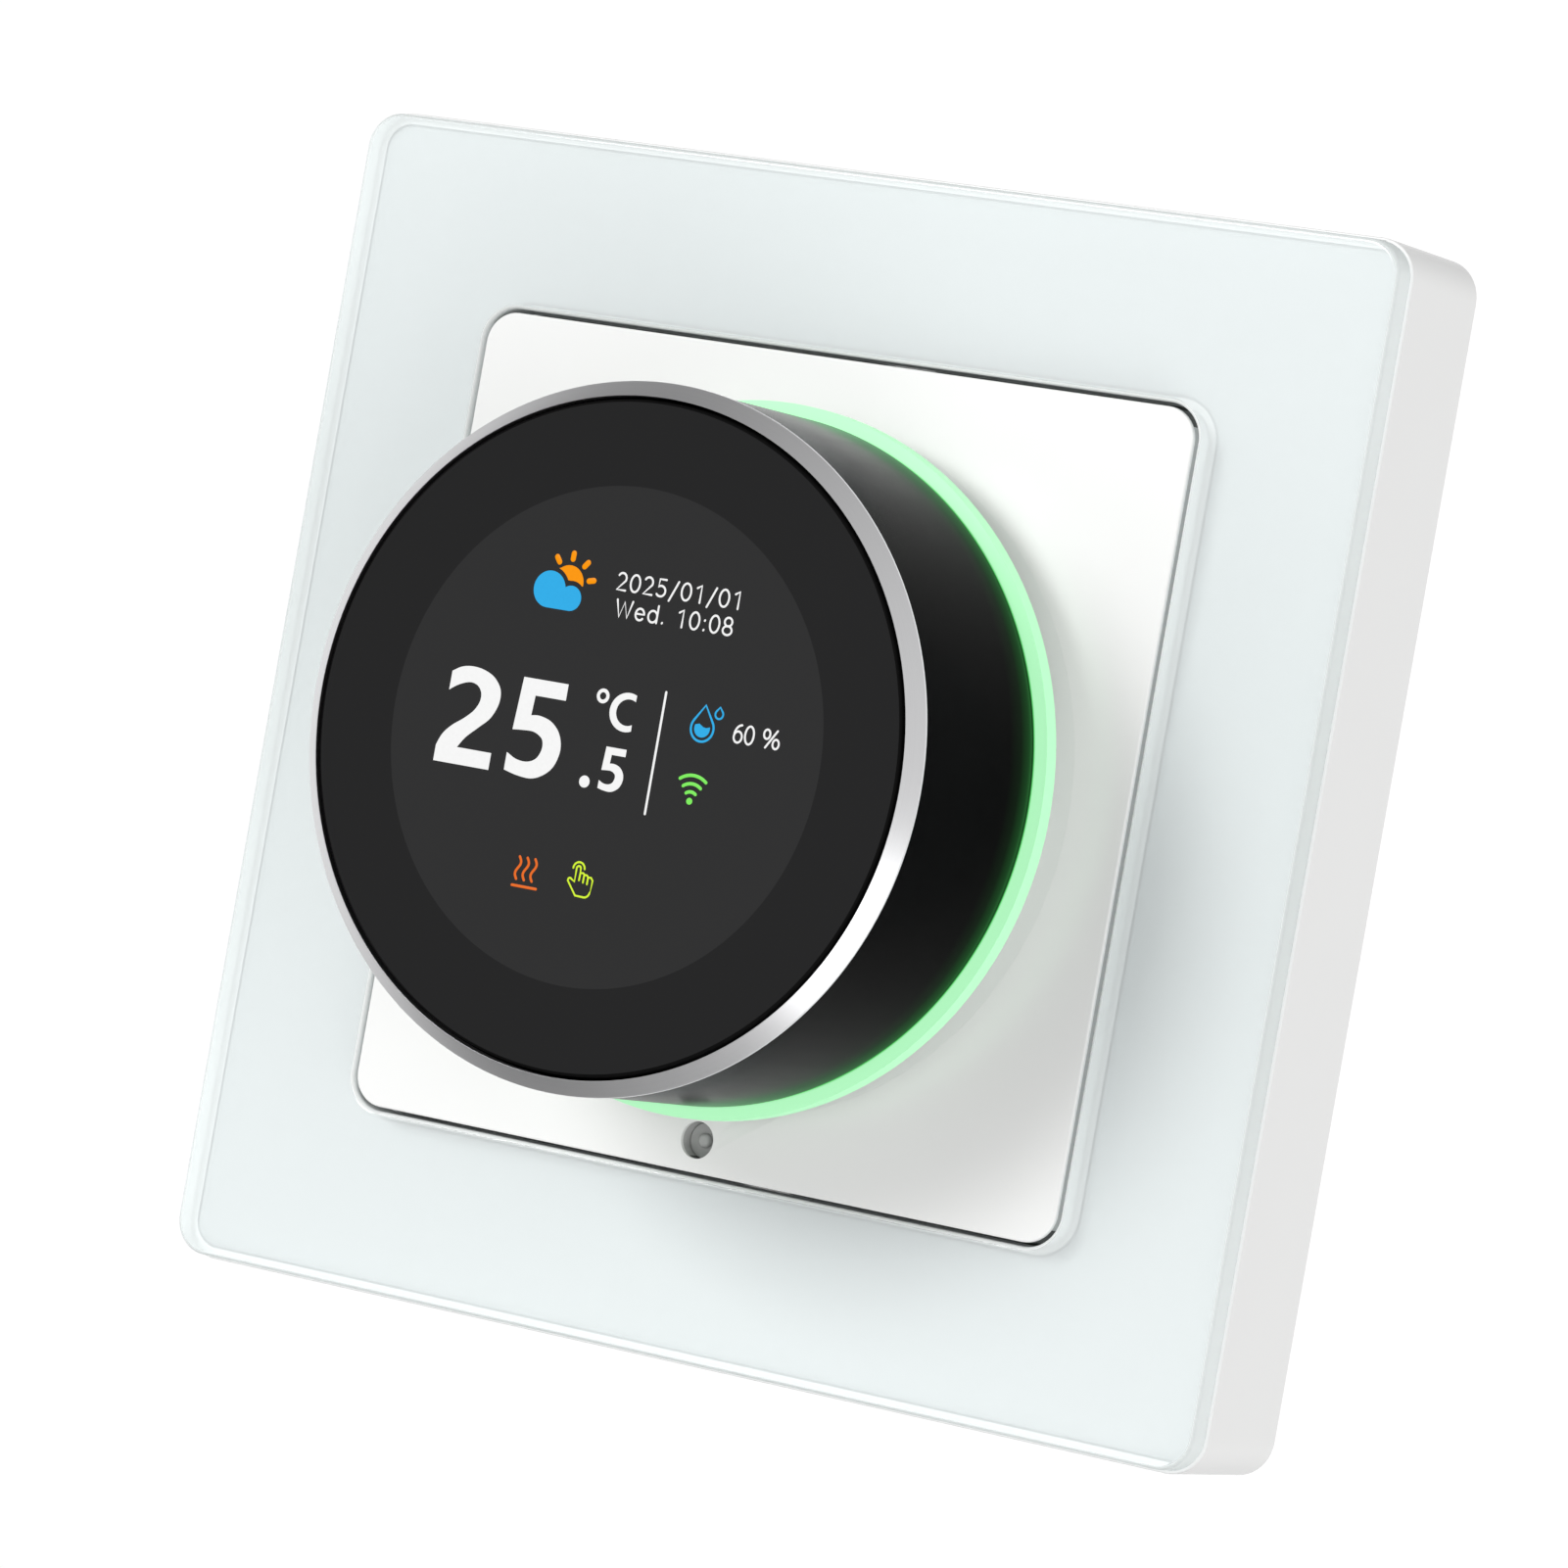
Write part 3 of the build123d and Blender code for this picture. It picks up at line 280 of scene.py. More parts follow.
class Finish:
    """Node material, or world, under construction."""

    def __init__(self, name, world=False):
        self.owner = (bpy.data.worlds if world else bpy.data.materials).new(name)
        self.owner.use_nodes = True
        self.tree = self.owner.node_tree
        self.tree.nodes.clear()
        self.output = self.tree.nodes.new("ShaderNodeOutputWorld" if world else "ShaderNodeOutputMaterial")

    def node(self, kind, settings=None, inputs=None, output=0):
        """Add a node: settings first, then the values or links of its sockets."""
        made = self.tree.nodes.new(kind)
        for key, value in (settings or {}).items():
            if key == "stops":
                self.set_stops(made.color_ramp, value)
            else:
                setattr(made, key, value)
        for key, value in (inputs or {}).items():
            if isinstance(value, Value):
                self.tree.links.new(value.socket, made.inputs[key])
            else:
                made.inputs[key].default_value = value
        return Value(self, made.outputs[output])

    @staticmethod
    def set_stops(ramp, stops):
        """Give a colour ramp its stops, as pairs of place and grey or colour."""
        while len(ramp.elements) < len(stops):
            ramp.elements.new(1.0)
        for element, (place, shade) in zip(ramp.elements, stops):
            element.position = place
            element.color = rgba((shade,) * 3 if isinstance(shade, float) else shade)

    def place(self):
        """Coordinates on the object, in metres."""
        return self.node("ShaderNodeTexCoord", output="Object")

    def axes(self):
        """Separate X, Y and Z of the place on the object."""
        split = self.node("ShaderNodeSeparateXYZ", inputs={0: self.place()})
        return [Value(self, socket) for socket in split.socket.node.outputs]

    def seen(self, *rays):
        """One where a ray is of one of these kinds."""
        path = self.node("ShaderNodeLightPath").socket.node.outputs
        kinds = [Value(self, path[ray]) for ray in rays]
        return sum(kinds[1:], kinds[0])

    def from_square(self, half, corner):
        """Distance out from the outline of a square with round corners, in metres."""
        x, _, z = self.axes()
        over = [axis.math("MAXIMUM", axis.math("ABSOLUTE", axis) - (half - corner)) for axis in (x, z)]
        return (over[0] * over[0] + over[1] * over[1]) ** 0.5 - corner

    def radius(self):
        """Distance from the knob's axis, in metres."""
        x, _, z = self.axes()
        return (x * x + z * z) ** 0.5

    def noise(self, scale, detail=2.0, stretch=(1, 1, 1)):
        """Noise from 0 to 1 with this many waves to the metre, stretched along the axes."""
        stretched = self.node(
            "ShaderNodeMapping", inputs={"Vector": self.place(), "Scale": stretch}
        )
        return self.node(
            "ShaderNodeTexNoise", inputs={"Vector": stretched, "Scale": scale, "Detail": detail}
        )

    def blend(self, factor, first, second):
        """Mix of two colours."""
        return self.node(
            "ShaderNodeMix", {"data_type": "RGBA"},
            {"Factor": factor, 6: rgba(first), 7: rgba(second)}, output=2,
        )

    def bump(self, height, distance):
        """Normal from a height at full strength."""
        return self.node(
            "ShaderNodeBump", inputs={"Height": height, "Distance": distance, "Strength": 1.0}
        )

    def surface(self, **inputs):
        """Principled surface whose sockets are named with underscores for spaces."""
        return self.node(
            "ShaderNodeBsdfPrincipled",
            inputs={key.replace("_", " "): value for key, value in inputs.items()},
        )

    def done(self, shader):
        """Send a shader to the output and return the material or world."""
        self.tree.links.new(shader.socket, self.output.inputs["Surface"])
        return self.owner


def rgba(shade):
    """Colour with full alpha, or a link as it is."""
    return shade if isinstance(shade, Value) else (*shade[:3], 1.0)


def tone(shade, factor):
    """Lighter or darker colour."""
    return tuple(min(1.0, part * factor) for part in shade[:3])


def moulded(name, shade, roughness, grain=2600.0, depth=0.004, mottle=0.04, dim=None):
    """Moulded plastic: fine grain and a faint cloud in colour and gloss.

    With dim, a depth and a height, the flanks behind that depth get painted shade, darkest beyond that
    height.
    """
    side_shade_tone, end_shade_tone = 0.55, 0.1
    least, spread = 0.85, 0.3
    finish = Finish(name)
    cloud = finish.noise(90.0, detail=3.0)
    skin = finish.noise(grain, detail=2.0)
    clouded = finish.blend(cloud, tone(shade, 1 - mottle), tone(shade, 1 + mottle))
    # Painted shade: flanks behind the depth are darkened, most at the ends beyond the height.
    if dim is not None:
        behind, reach = dim
        _, y, z = finish.axes()
        painted_flank_shade = finish.blend(z * z > reach * reach, tone(shade, side_shade_tone), tone(shade, end_shade_tone))
        clouded = finish.blend(y > -behind, clouded, painted_flank_shade)
    return finish.done(finish.surface(
        Base_Color=clouded,
        Roughness=roughness * least + cloud * (roughness * spread),
        Normal=finish.bump(skin, depth * MM),
    ))


def milky_glass(name, tint, edge_tint, face_depth, back_depth, middle):
    """Plate of milky glass that lets most of the light through, with ground edges whose faces seen from
    inside glow with painted light.

    The edges beyond middle, half a side from the axis, are the outer ones.
    """
    clear_share, soaked_share, painted_edge_light, opening_light_tone = 0.6, 0.5, 0.42, 0.45
    finish = Finish(name)
    _, y, _ = finish.axes()
    wave = finish.noise(35.0, detail=1.0)
    face = finish.blend(wave, tone(tint, 0.99), tint)
    plate = finish.surface(
        Base_Color=face,
        Roughness=0.02 + 0.02 * wave,
        IOR=1.5,
        Transmission_Weight=clear_share,
    )
    grit = finish.noise(5000.0)
    ground = finish.surface(
        Base_Color=finish.blend(grit, tone(edge_tint, 0.98), edge_tint),
        Roughness=0.4 + 0.2 * grit,
    )
    soaked = finish.node("ShaderNodeBsdfTranslucent", inputs={"Color": rgba(edge_tint)})
    outer = finish.from_square(middle, 0.0) > 0.0
    rim = soaked_share * (y < -back_depth) * outer
    outside = finish.node("ShaderNodeMixShader", inputs={0: rim, 1: ground, 2: soaked})
    # Painted light: faces seen from inside the plate glow, less round the opening.
    inside = finish.surface(
        Base_Color=rgba(edge_tint),
        Roughness=0.5,
        Emission_Color=finish.blend(outer, tone(edge_tint, opening_light_tone), edge_tint),
        Emission_Strength=painted_edge_light,
    )
    behind = finish.node("ShaderNodeNewGeometry", output="Backfacing")
    edges = finish.node("ShaderNodeMixShader", inputs={0: behind, 1: outside, 2: inside})
    solid = finish.node("ShaderNodeMixShader", inputs={0: y > -face_depth, 1: plate, 2: edges})
    through = finish.node("ShaderNodeBsdfTransparent", inputs={"Color": rgba(tone(tint, 0.95))})
    lighting = finish.seen("Is Shadow Ray", "Is Diffuse Ray")
    return finish.done(finish.node("ShaderNodeMixShader", inputs={0: lighting, 1: solid, 2: through}))


def printed_film(name, shade, outer, inner, line):
    """White print with painted shade, a slightly darker line, along its outer and inner edges."""
    edge_shade_tone = 0.8
    finish = Finish(name)
    cloud = finish.noise(90.0, detail=3.0)
    skin = finish.noise(4000.0)
    clouded = finish.blend(cloud, tone(shade, 0.99), tone(shade, 1.01))
    # Painted shade: a darker line along the print's outer and inner edges.
    edge_shade = (finish.from_square(*outer) > -line) + (finish.from_square(*inner) < line)
    return finish.done(finish.surface(
        Base_Color=finish.blend(edge_shade, clouded, tone(shade, edge_shade_tone)),
        Roughness=0.5 + 0.1 * cloud,
        Normal=finish.bump(skin, 0.002 * MM),
    ))


def lit_guide(name, glow, deep, bounce, halo, foot, bore, rim):
    """Frosted light guide: mint on its rim, deep green painted shade in the gap under the knob, white under
    the rim.

    It shines for the camera and in reflections, and lights the parts round it with a paler halo.
    """
    gap, step, face, brim = 0.685, 0.705, 0.73, 0.97
    rim_glow, halo_glow = 0.54, 0.2
    finish = Finish(name)
    _, y, _ = finish.axes()
    frost = finish.noise(1500.0)
    out = (finish.radius() - bore) / (rim - bore)
    # Painted shade: deep green, darkest where the ring lies in the gap under the knob.
    shade = finish.node("ShaderNodeValToRGB", {"stops": [
        (0.0, tone(deep, 0.02)), (gap, tone(deep, 0.06)), (step, tone(deep, 0.6)), (face, glow),
        (brim, glow), (1.0, tone(glow, 0.96)),
    ]}, {0: out})
    low = y > -foot
    lit, dim = [
        finish.surface(
            Base_Color=finish.blend(low, base, bounce),
            Roughness=0.4 + 0.2 * frost,
            Specular_IOR_Level=0.25,
            Emission_Color=finish.blend(low, base, (0, 0, 0)),
            Emission_Strength=strength,
            Normal=finish.bump(frost, 0.004 * MM),
        )
        for base, strength in ((shade, rim_glow), (halo, halo_glow))
    ]
    seen = finish.seen("Is Camera Ray", "Is Glossy Ray", "Is Transmission Ray")
    return finish.done(finish.node("ShaderNodeMixShader", inputs={0: seen, 1: dim, 2: lit}))


def turned_silver(name, shade):
    """Satin turned metal: fine rings round the axis."""
    finish = Finish(name)
    radius = finish.radius()
    rings = finish.node(
        "ShaderNodeTexNoise", {"noise_dimensions": "1D"}, {"W": radius, "Scale": 30000.0, "Detail": 2.0}
    )
    return finish.done(finish.surface(
        Base_Color=finish.blend(rings, tone(shade, 0.92), tone(shade, 1.06)),
        Metallic=1.0,
        Roughness=0.26 + 0.12 * rings,
        Normal=finish.bump(rings, 0.0004 * MM),
    ))


def piano_black(name, shade, glow, foot, reach):
    """Black skirt, glossier at a slant, with the faintest waviness and the ring's light on its foot."""
    facing_gloss, slanting_gloss = 0.005, 0.03
    slant_start, slant_end = 0.45, 0.75
    finish = Finish(name)
    _, y, _ = finish.axes()
    wave = finish.noise(160.0, detail=1.0)
    wipe = finish.noise(900.0, detail=3.0, stretch=(1, 0.2, 1))
    height = (-foot - y) / reach
    spill = finish.node("ShaderNodeValToRGB", {"stops": [
        (0.0, tone(glow, 0.12)), (0.15, tone(glow, 0.05)), (0.5, tone(glow, 0.01)), (1.0, 0.0),
    ]}, {0: height})
    dull, glossy = [
        finish.surface(
            Base_Color=finish.blend(wipe, tone(shade, 0.9), tone(shade, 1.15)),
            Roughness=0.2 + 0.05 * wipe,
            Specular_IOR_Level=gloss,
            Emission_Color=spill,
            Emission_Strength=1.0,
            Normal=finish.bump(wave, 0.002 * MM),
        )
        for gloss in (facing_gloss, slanting_gloss)
    ]
    slant = finish.node("ShaderNodeLayerWeight", output="Facing").ramp(slant_start, slant_end)
    return finish.done(finish.node("ShaderNodeMixShader", inputs={0: slant, 1: dull, 2: glossy}))


def smoked_lens(name, rim, display, radius, blunt):
    """Smoked lens with the unlit display circle behind it and a blunt black rim."""
    haze_share, rim_black = 0.25, (0.001, 0.001, 0.001)
    finish = Finish(name)
    reach = finish.radius()
    inside = reach < radius
    haze = finish.noise(60.0, detail=2.0)
    shade = finish.blend(inside, rim, display)
    hazed = finish.node(
        "ShaderNodeMix", {"data_type": "RGBA", "blend_type": "MULTIPLY"},
        {"Factor": haze_share, 6: shade, 7: finish.blend(haze, (0.85, 0.85, 0.85), (1, 1, 1))}, output=2,
    )
    edge = reach > blunt
    return finish.done(finish.surface(
        Base_Color=finish.blend(edge, hazed, rim_black),
        Roughness=0.06 + 0.03 * haze + 0.7 * edge,
        Specular_IOR_Level=0.12,
    ))


def shining(name, shade):
    """Lit reading on the display."""
    finish = Finish(name)
    cells = finish.noise(5000.0, detail=1.0)
    return finish.done(finish.surface(
        Base_Color=(0, 0, 0, 1),
        Roughness=0.3,
        Specular_IOR_Level=0.1,
        Emission_Color=finish.blend(cells, tone(shade, 0.94), shade),
        Emission_Strength=1.0,
    ))


def plated_steel(name, shade, roughness):
    """Zinc plated steel: drawn streaks and a faint cloudy tarnish."""
    finish = Finish(name)
    streak = finish.noise(1800.0, detail=3.0, stretch=(1, 1, 0.06))
    cloud = finish.noise(120.0, detail=4.0)
    return finish.done(finish.surface(
        Base_Color=finish.blend(cloud, tone(shade, 0.86), tone(shade, 1.08)),
        Metallic=1.0,
        Roughness=roughness * 0.8 + roughness * 0.4 * streak,
        Normal=finish.bump(streak, 0.004 * MM),
    ))


def circuit_board(name, shade):
    """Solder resist over copper tracks."""
    finish = Finish(name)
    cells = finish.node(
        "ShaderNodeTexVoronoi", {"distance": "MANHATTAN", "feature": "F1"},
        {"Vector": finish.place(), "Scale": 420.0, "Randomness": 0.8}, output="Distance",
    )
    bands = finish.node("ShaderNodeMath", {"operation": "FRACT"}, {0: cells * 5.0})
    tracks = finish.node("ShaderNodeValToRGB", {"stops": [(0.45, 0.0), (0.55, 1.0)]}, {0: bands})
    return finish.done(finish.surface(
        Base_Color=finish.blend(tracks, shade, tone(shade, 1.7)),
        Roughness=0.32 + 0.1 * finish.noise(800.0),
        Normal=finish.bump(tracks, 0.02 * MM),
    ))


def amber_film(name, shade):
    """Flat cable: copper lines under amber film."""
    pitch = 0.5 * MM
    finish = Finish(name)
    x, _, _ = finish.axes()
    wave = finish.node("ShaderNodeMath", {"operation": "SINE"}, {0: x * (2 * math.pi / pitch)})
    return finish.done(finish.surface(
        Base_Color=finish.blend(wave * 0.5 + 0.5, shade, tone(shade, 1.5)), Roughness=0.3,
    ))


def pick_edges(obj, test):
    """Select the sharp edges of the open mesh whose ends and faces pass a test."""
    mesh = bmesh.from_edit_mesh(obj.data)
    for edge in mesh.edges:
        sharp = len(edge.link_faces) == 2 and edge.calc_face_angle() > PICKED_ANGLE
        edge.select_set(sharp and all(test(corner.co) for corner in edge.verts))
    mesh.select_flush_mode()
    bmesh.update_edit_mesh(obj.data)


def only(obj):
    """Select one object alone and make it active."""
    bpy.ops.object.select_all(action="DESELECT")
    obj.select_set(True)
    bpy.context.view_layer.objects.active = obj


def close_mesh():
    """Merge doubled points, turn all faces outwards and leave edit mode."""
    bpy.ops.mesh.select_all(action="SELECT")
    bpy.ops.mesh.remove_doubles(threshold=MODEL_MERGE)
    bpy.ops.mesh.normals_make_consistent(inside=False)
    bpy.ops.object.mode_set(mode="OBJECT")


def settle(obj, body, slot, material, *nodes):
    """Set a finished piece at the origin, on its body and in its finish; its slot is not used."""
    only(obj)
    bpy.ops.object.transform_apply(location=True, rotation=True, scale=True)
    bpy.ops.object.shade_smooth_by_angle(angle=SMOOTH_ANGLE)
    flats = obj.modifiers.new("Flat faces", "WEIGHTED_NORMAL")
    flats.keep_sharp = True
    flats.weight = 100
    bpy.ops.object.modifier_apply(modifier=flats.name)
    obj.data.materials.clear()
    obj.data.materials.append(material)
    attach(obj, body)
    if nodes:
        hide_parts(*nodes)
    return obj


def dress(material, *nodes):
    """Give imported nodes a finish."""
    for node in nodes:
        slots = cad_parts[node].data.materials
        slots.clear()
        slots.append(material)


def smoothed(node, slot, material, body="wall_unit"):
    """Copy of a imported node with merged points, so that its round faces shade smoothly."""
    obj = bpy.data.objects.new(node + "_smooth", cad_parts[node].data.copy())
    bpy.context.scene.collection.objects.link(obj)
    only(obj)
    bpy.ops.object.mode_set(mode="EDIT")
    bpy.ops.mesh.select_all(action="SELECT")
    bpy.ops.mesh.remove_doubles(threshold=PACKED_MERGE)
    bpy.ops.mesh.dissolve_limited(angle_limit=PACKED_FLAT)
    bpy.ops.object.mode_set(mode="OBJECT")
    return settle(obj, body, slot, material, node)


def turned(name, profile, sides, edge):
    """Turn a closed profile of (radius, depth) round the knob's axis and round its rims."""
    bpy.ops.object.select_all(action="DESELECT")
    radius, depth = profile[0]
    bpy.ops.mesh.primitive_circle_add(
        vertices=sides, radius=radius, location=(0, -depth, 0), rotation=WALL_TO_ROOM
    )
    obj = bpy.context.object
    obj.name = name
    bpy.ops.object.transform_apply(location=True, rotation=True, scale=True)
    bpy.ops.object.mode_set(mode="EDIT")
    bpy.ops.mesh.select_all(action="SELECT")
    for next_radius, next_depth in profile[1:] + profile[:1]:
        bpy.ops.mesh.extrude_region_move(TRANSFORM_OT_translate={"value": (0, depth - next_depth, 0)})
        grow = next_radius / radius
        bpy.ops.transform.resize(value=(grow, 1, grow), center_override=(0, -next_depth, 0))
        radius, depth = next_radius, next_depth
    close_mesh()
    soften(obj, edge)
    return obj


def soften(obj, width):
    """Round the sharp edges of a piece."""
    only(obj)
    bevel = obj.modifiers.new("Rims", "BEVEL")
    bevel.width = width
    bevel.segments = RIM_STEPS
    bevel.limit_method = "ANGLE"
    bevel.angle_limit = ROUNDED_ANGLE
    bpy.ops.object.modifier_apply(modifier=bevel.name)


def square_loop(side, corner, depth, steps):
    """Add a square loop with round corners to the open mesh."""
    bpy.ops.mesh.primitive_plane_add(size=side, location=(0, -depth, 0), rotation=WALL_TO_ROOM)
    bpy.ops.mesh.bevel(offset=corner, affect="VERTICES", segments=steps)
    bpy.ops.mesh.delete(type="ONLY_FACE")


def square_ring(name, outer, inner, back, front, steps):
    """Square plate with a square opening; outer and inner are pairs of side and corner."""
    bpy.ops.object.select_all(action="DESELECT")
    bpy.ops.mesh.primitive_plane_add(size=outer[0], location=(0, -back, 0), rotation=WALL_TO_ROOM)
    obj = bpy.context.object
    obj.name = name
    bpy.ops.object.transform_apply(location=True, rotation=True, scale=True)
    bpy.ops.object.mode_set(mode="EDIT")
    bpy.ops.mesh.select_all(action="SELECT")
    bpy.ops.mesh.bevel(offset=outer[1], affect="VERTICES", segments=steps)
    bpy.ops.mesh.delete(type="ONLY_FACE")
    square_loop(inner[0], inner[1], back, steps)
    bpy.ops.mesh.select_all(action="SELECT")
    bpy.ops.mesh.bridge_edge_loops()
    bpy.ops.mesh.select_all(action="SELECT")
    bpy.ops.mesh.extrude_region_move(TRANSFORM_OT_translate={"value": (0, back - front, 0)})
    close_mesh()
    return obj


def arc(centre, radius, start, end, steps=24, rise=None):
    """Points on a round arc between two angles in degrees, or on an oval one with another rise."""
    tall = rise or radius
    turns = [math.radians(start + (end - start) * step / steps) for step in range(steps + 1)]
    line = [(centre[0] + radius * math.cos(turn), centre[1] + tall * math.sin(turn)) for turn in turns]
    return line[:-1] + line[:1] if abs(end - start) == 360 else line


def onto_lens(obj, name, flatten=1.0):
    """Turn a flat drawing in millimetres into a mesh that lies on the lens."""
    only(obj)
    bpy.ops.object.convert(target="MESH")
    obj = bpy.context.object
    obj.name = name
    low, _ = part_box("display_lens")
    obj.scale = (MM, MM, MM * flatten)
    obj.rotation_euler = WALL_TO_ROOM
    obj.location = (0, low.y, 0)
    bpy.ops.object.transform_apply(location=True, rotation=True, scale=True)
    return obj


def drawing(name, lines, radii=None):
    """Curve through lines of flat points in millimetres; a line that ends where it starts is closed."""
    curve = bpy.data.curves.new(name, "CURVE")
    curve.dimensions = "3D" if radii else "2D"
    for number, line in enumerate(lines):
        closed = line[0] == line[-1]
        points = line[:-1] if closed else line
        spline = curve.splines.new("POLY")
        spline.points.add(len(points) - 1)
        for index, (x, y) in enumerate(points):
            spline.points[index].co = (x, y, 0, 1)
            spline.points[index].radius = radii[number][index] if radii else 1.0
        spline.use_cyclic_u = closed
    obj = bpy.data.objects.new(name, curve)
    bpy.context.scene.collection.objects.link(obj)
    return obj


def round_ends(line, width):
    """Line with its two ends drawn out to round tips, and its thickness along the way."""
    if line[0] == line[-1]:
        return line, [1.0] * len(line)
    turns = [math.radians(turn) for turn in (87, 60, 30)]

    def tip(end, behind):
        """Points beyond an end, from the outermost in."""
        way = (Vector(end) - Vector(behind)).normalized()
        return [tuple(Vector(end) + way * width / 2 * math.sin(turn)) for turn in turns]

    start, end = tip(line[0], line[1]), tip(line[-1], line[-2])
    thin = [math.cos(turn) for turn in turns]
    return start + line + end[::-1], thin + [1.0] * len(line) + thin[::-1]


def stroke(name, lines, width):
    """Lines with round ends, given in millimetres."""
    rounded = [round_ends(line, width) for line in lines]
    obj = drawing(name, [line for line, _ in rounded], [radii for _, radii in rounded])
    obj.data.bevel_depth = width / 2
    obj.data.bevel_resolution = 3
    obj.data.use_fill_caps = True
    proud = bpy.context.scene.thermostat_sizes.reading_proud / MM
    return onto_lens(obj, name, flatten=proud / (width / 2))


def patch(name, *lines):
    """Filled outline, given in millimetres; a second line inside the first cuts a hole."""
    obj = drawing(name, [line + line[:1] for line in lines])
    obj.data.fill_mode = "BOTH"
    obj.data.extrude = bpy.context.scene.thermostat_sizes.reading_proud / MM
    return onto_lens(obj, name)


def swept(runs, steps=10):
    """Closed outline of runs that meet in corners; a run of three or more points is a smooth curve."""
    line = []
    for run in runs:
        corners = [Vector(point) for point in run]
        for index in range(len(run) - 1):
            before, start, end, after = [
                corners[min(max(index + shift, 0), len(run) - 1)] for shift in (-1, 0, 1, 2)
            ]
            parts = steps if len(run) > 2 else 1
            for step in range(parts):
                way = step / parts
                lean = (end - before) * (way - 2 * way ** 2 + way ** 3) / 2
                lift = (after - start) * (way ** 3 - way ** 2) / 2
                level = start * (1 - 3 * way ** 2 + 2 * way ** 3) + end * (3 * way ** 2 - 2 * way ** 3)
                line.append(tuple(level + lean + lift) if len(run) > 2 else tuple(start))
    return line


def boxed(line, left, base, width, height):
    """Line of a unit box, set into a box in millimetres."""
    return [(left + width * x, base + height * y) for x, y in line]


def sign_lines(sign):
    """Lines of one sign of the small readings, in a box of height one."""
    oval = arc((0.32, 0.5), 0.32, 0, 360, rise=0.5, steps=32)
    if sign == "0":
        return [oval]
    if sign == "1":
        return [[(0.12, 0.83), (0.4, 1.0), (0.4, 0.0)]]
    if sign == "2":
        return [arc((0.3, 0.7), 0.28, 150, -28, rise=0.3) + [(0.02, 0.0), (0.62, 0.0)]]
    if sign == "5":
        return [[(0.56, 1.0), (0.12, 1.0), (0.09, 0.54)] + arc((0.27, 0.31), 0.32, 118, -140, rise=0.31)]
    if sign == "6":
        lean = arc((0.56, 0.36), 0.54, 95, 165, rise=0.63, steps=14)
        return [lean + arc((0.32, 0.31), 0.3, 160, 520, rise=0.31, steps=32)]
    if sign == "8":
        upper = arc((0.32, 0.75), 0.26, -90, 270, rise=0.25, steps=28)
        return [upper, arc((0.32, 0.25), 0.31, 90, 450, rise=0.26, steps=28)]
    if sign == "W":
        return [[(0.0, 1.0), (0.27, 0.0), (0.55, 0.92), (0.83, 0.0), (1.1, 1.0)]]
    if sign == "e":
        return [[(0.03, 0.36), (0.62, 0.36)] + arc((0.32, 0.34), 0.3, 4, 318, rise=0.34)]
    if sign == "d":
        return [[(0.62, 1.0), (0.62, 0.0)], arc((0.31, 0.34), 0.31, 0, 360, rise=0.34, steps=28)]
    if sign == "%":
        rings = [arc(middle, 0.23, 0, 360, rise=0.26, steps=24) for middle in ((0.24, 0.74), (0.98, 0.26))]
        return rings + [[(0.24, 0.0), (0.98, 1.0)]]
    if sign == "/":
        return [[(0.0, -0.17), (0.5, 1.0)]]
    dots = {".": (0.04,), ":": (0.04, 0.6)}.get(sign, ())
    return [[(0.09, low), (0.11, low + 0.03)] for low in dots]


def readings_line(name, text, left, base, width, height, space=0.28):
    """Small reading in even lines, fitted into a box in millimetres on the lens."""
    wide = {"W": 1.1, "%": 1.22, "/": 0.5, ".": 0.2, ":": 0.2, " ": 0.32}
    lines, reach = [], 0.0
    for sign in text:
        for line in sign_lines(sign):
            lines.append([(x + reach, y) for x, y in line])
        reach += wide.get(sign, 0.64) + space
    reach -= space
    line_width = bpy.context.scene.thermostat_sizes.text_line / MM
    return stroke(name, [boxed(line, left, base, width / reach, height) for line in lines], line_width)


def joined(name, pieces):
    """Make one piece of several drawings."""
    only(pieces[0])
    for piece in pieces:
        piece.select_set(True)
    if len(pieces) > 1:
        bpy.ops.object.join()
    pieces[0].name = name
    return pieces[0]


class THERMOSTAT_OT_frame(Operator):
    """Clear front plate, white film and white base of the square frame"""

    bl_idname = "thermostat.frame"
    bl_label = "Frame"

    def execute(self, context):
        sizes, colours = context.scene.thermostat_sizes, context.scene.thermostat_colours
        low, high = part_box("glass_panel")
        inner_low, inner_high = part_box("insert_cover")
        opening = inner_high.x - inner_low.x + 2 * sizes.insert_gap
        glass = square_ring(
            "front_glass", (high.x - low.x, sizes.glass_corner),
            (opening, sizes.insert_corner + sizes.insert_gap),
            -high.y - sizes.glass_bond, -low.y, sizes.corner_steps,
        )
        only(glass)
        bpy.ops.object.mode_set(mode="EDIT")
        bpy.ops.mesh.select_mode(type="EDGE")
        pick_edges(glass, lambda corner: corner.y < low.y + PICKED_DEPTH)
        bpy.ops.mesh.bevel(offset=sizes.glass_edge, segments=GLASS_EDGE_STEPS, affect="EDGES")
        bpy.ops.object.mode_set(mode="OBJECT")
        milky = milky_glass(
            "Milky glass", colours.glass, colours.glass_cut, -low.y - sizes.glass_flat, -high.y,
            (opening / 2 + high.x) / 2,
        )
        settle(glass, "wall_unit", "glass_clear", milky, "glass_panel")
        margin = high.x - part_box("panel_film")[1].x
        film = printed_film(
            "White film", colours.film, (high.x - margin, sizes.glass_corner - margin),
            (opening / 2 + margin, sizes.insert_corner + sizes.insert_gap + margin), sizes.film_edge_shade,
        )
        dress(film, "panel_film")
        white = moulded("White shell", colours.shell, roughness=0.22, depth=0.0015, mottle=0.012)
        smoothed("frame_base", "shell_white", white)
        return {"FINISHED"}


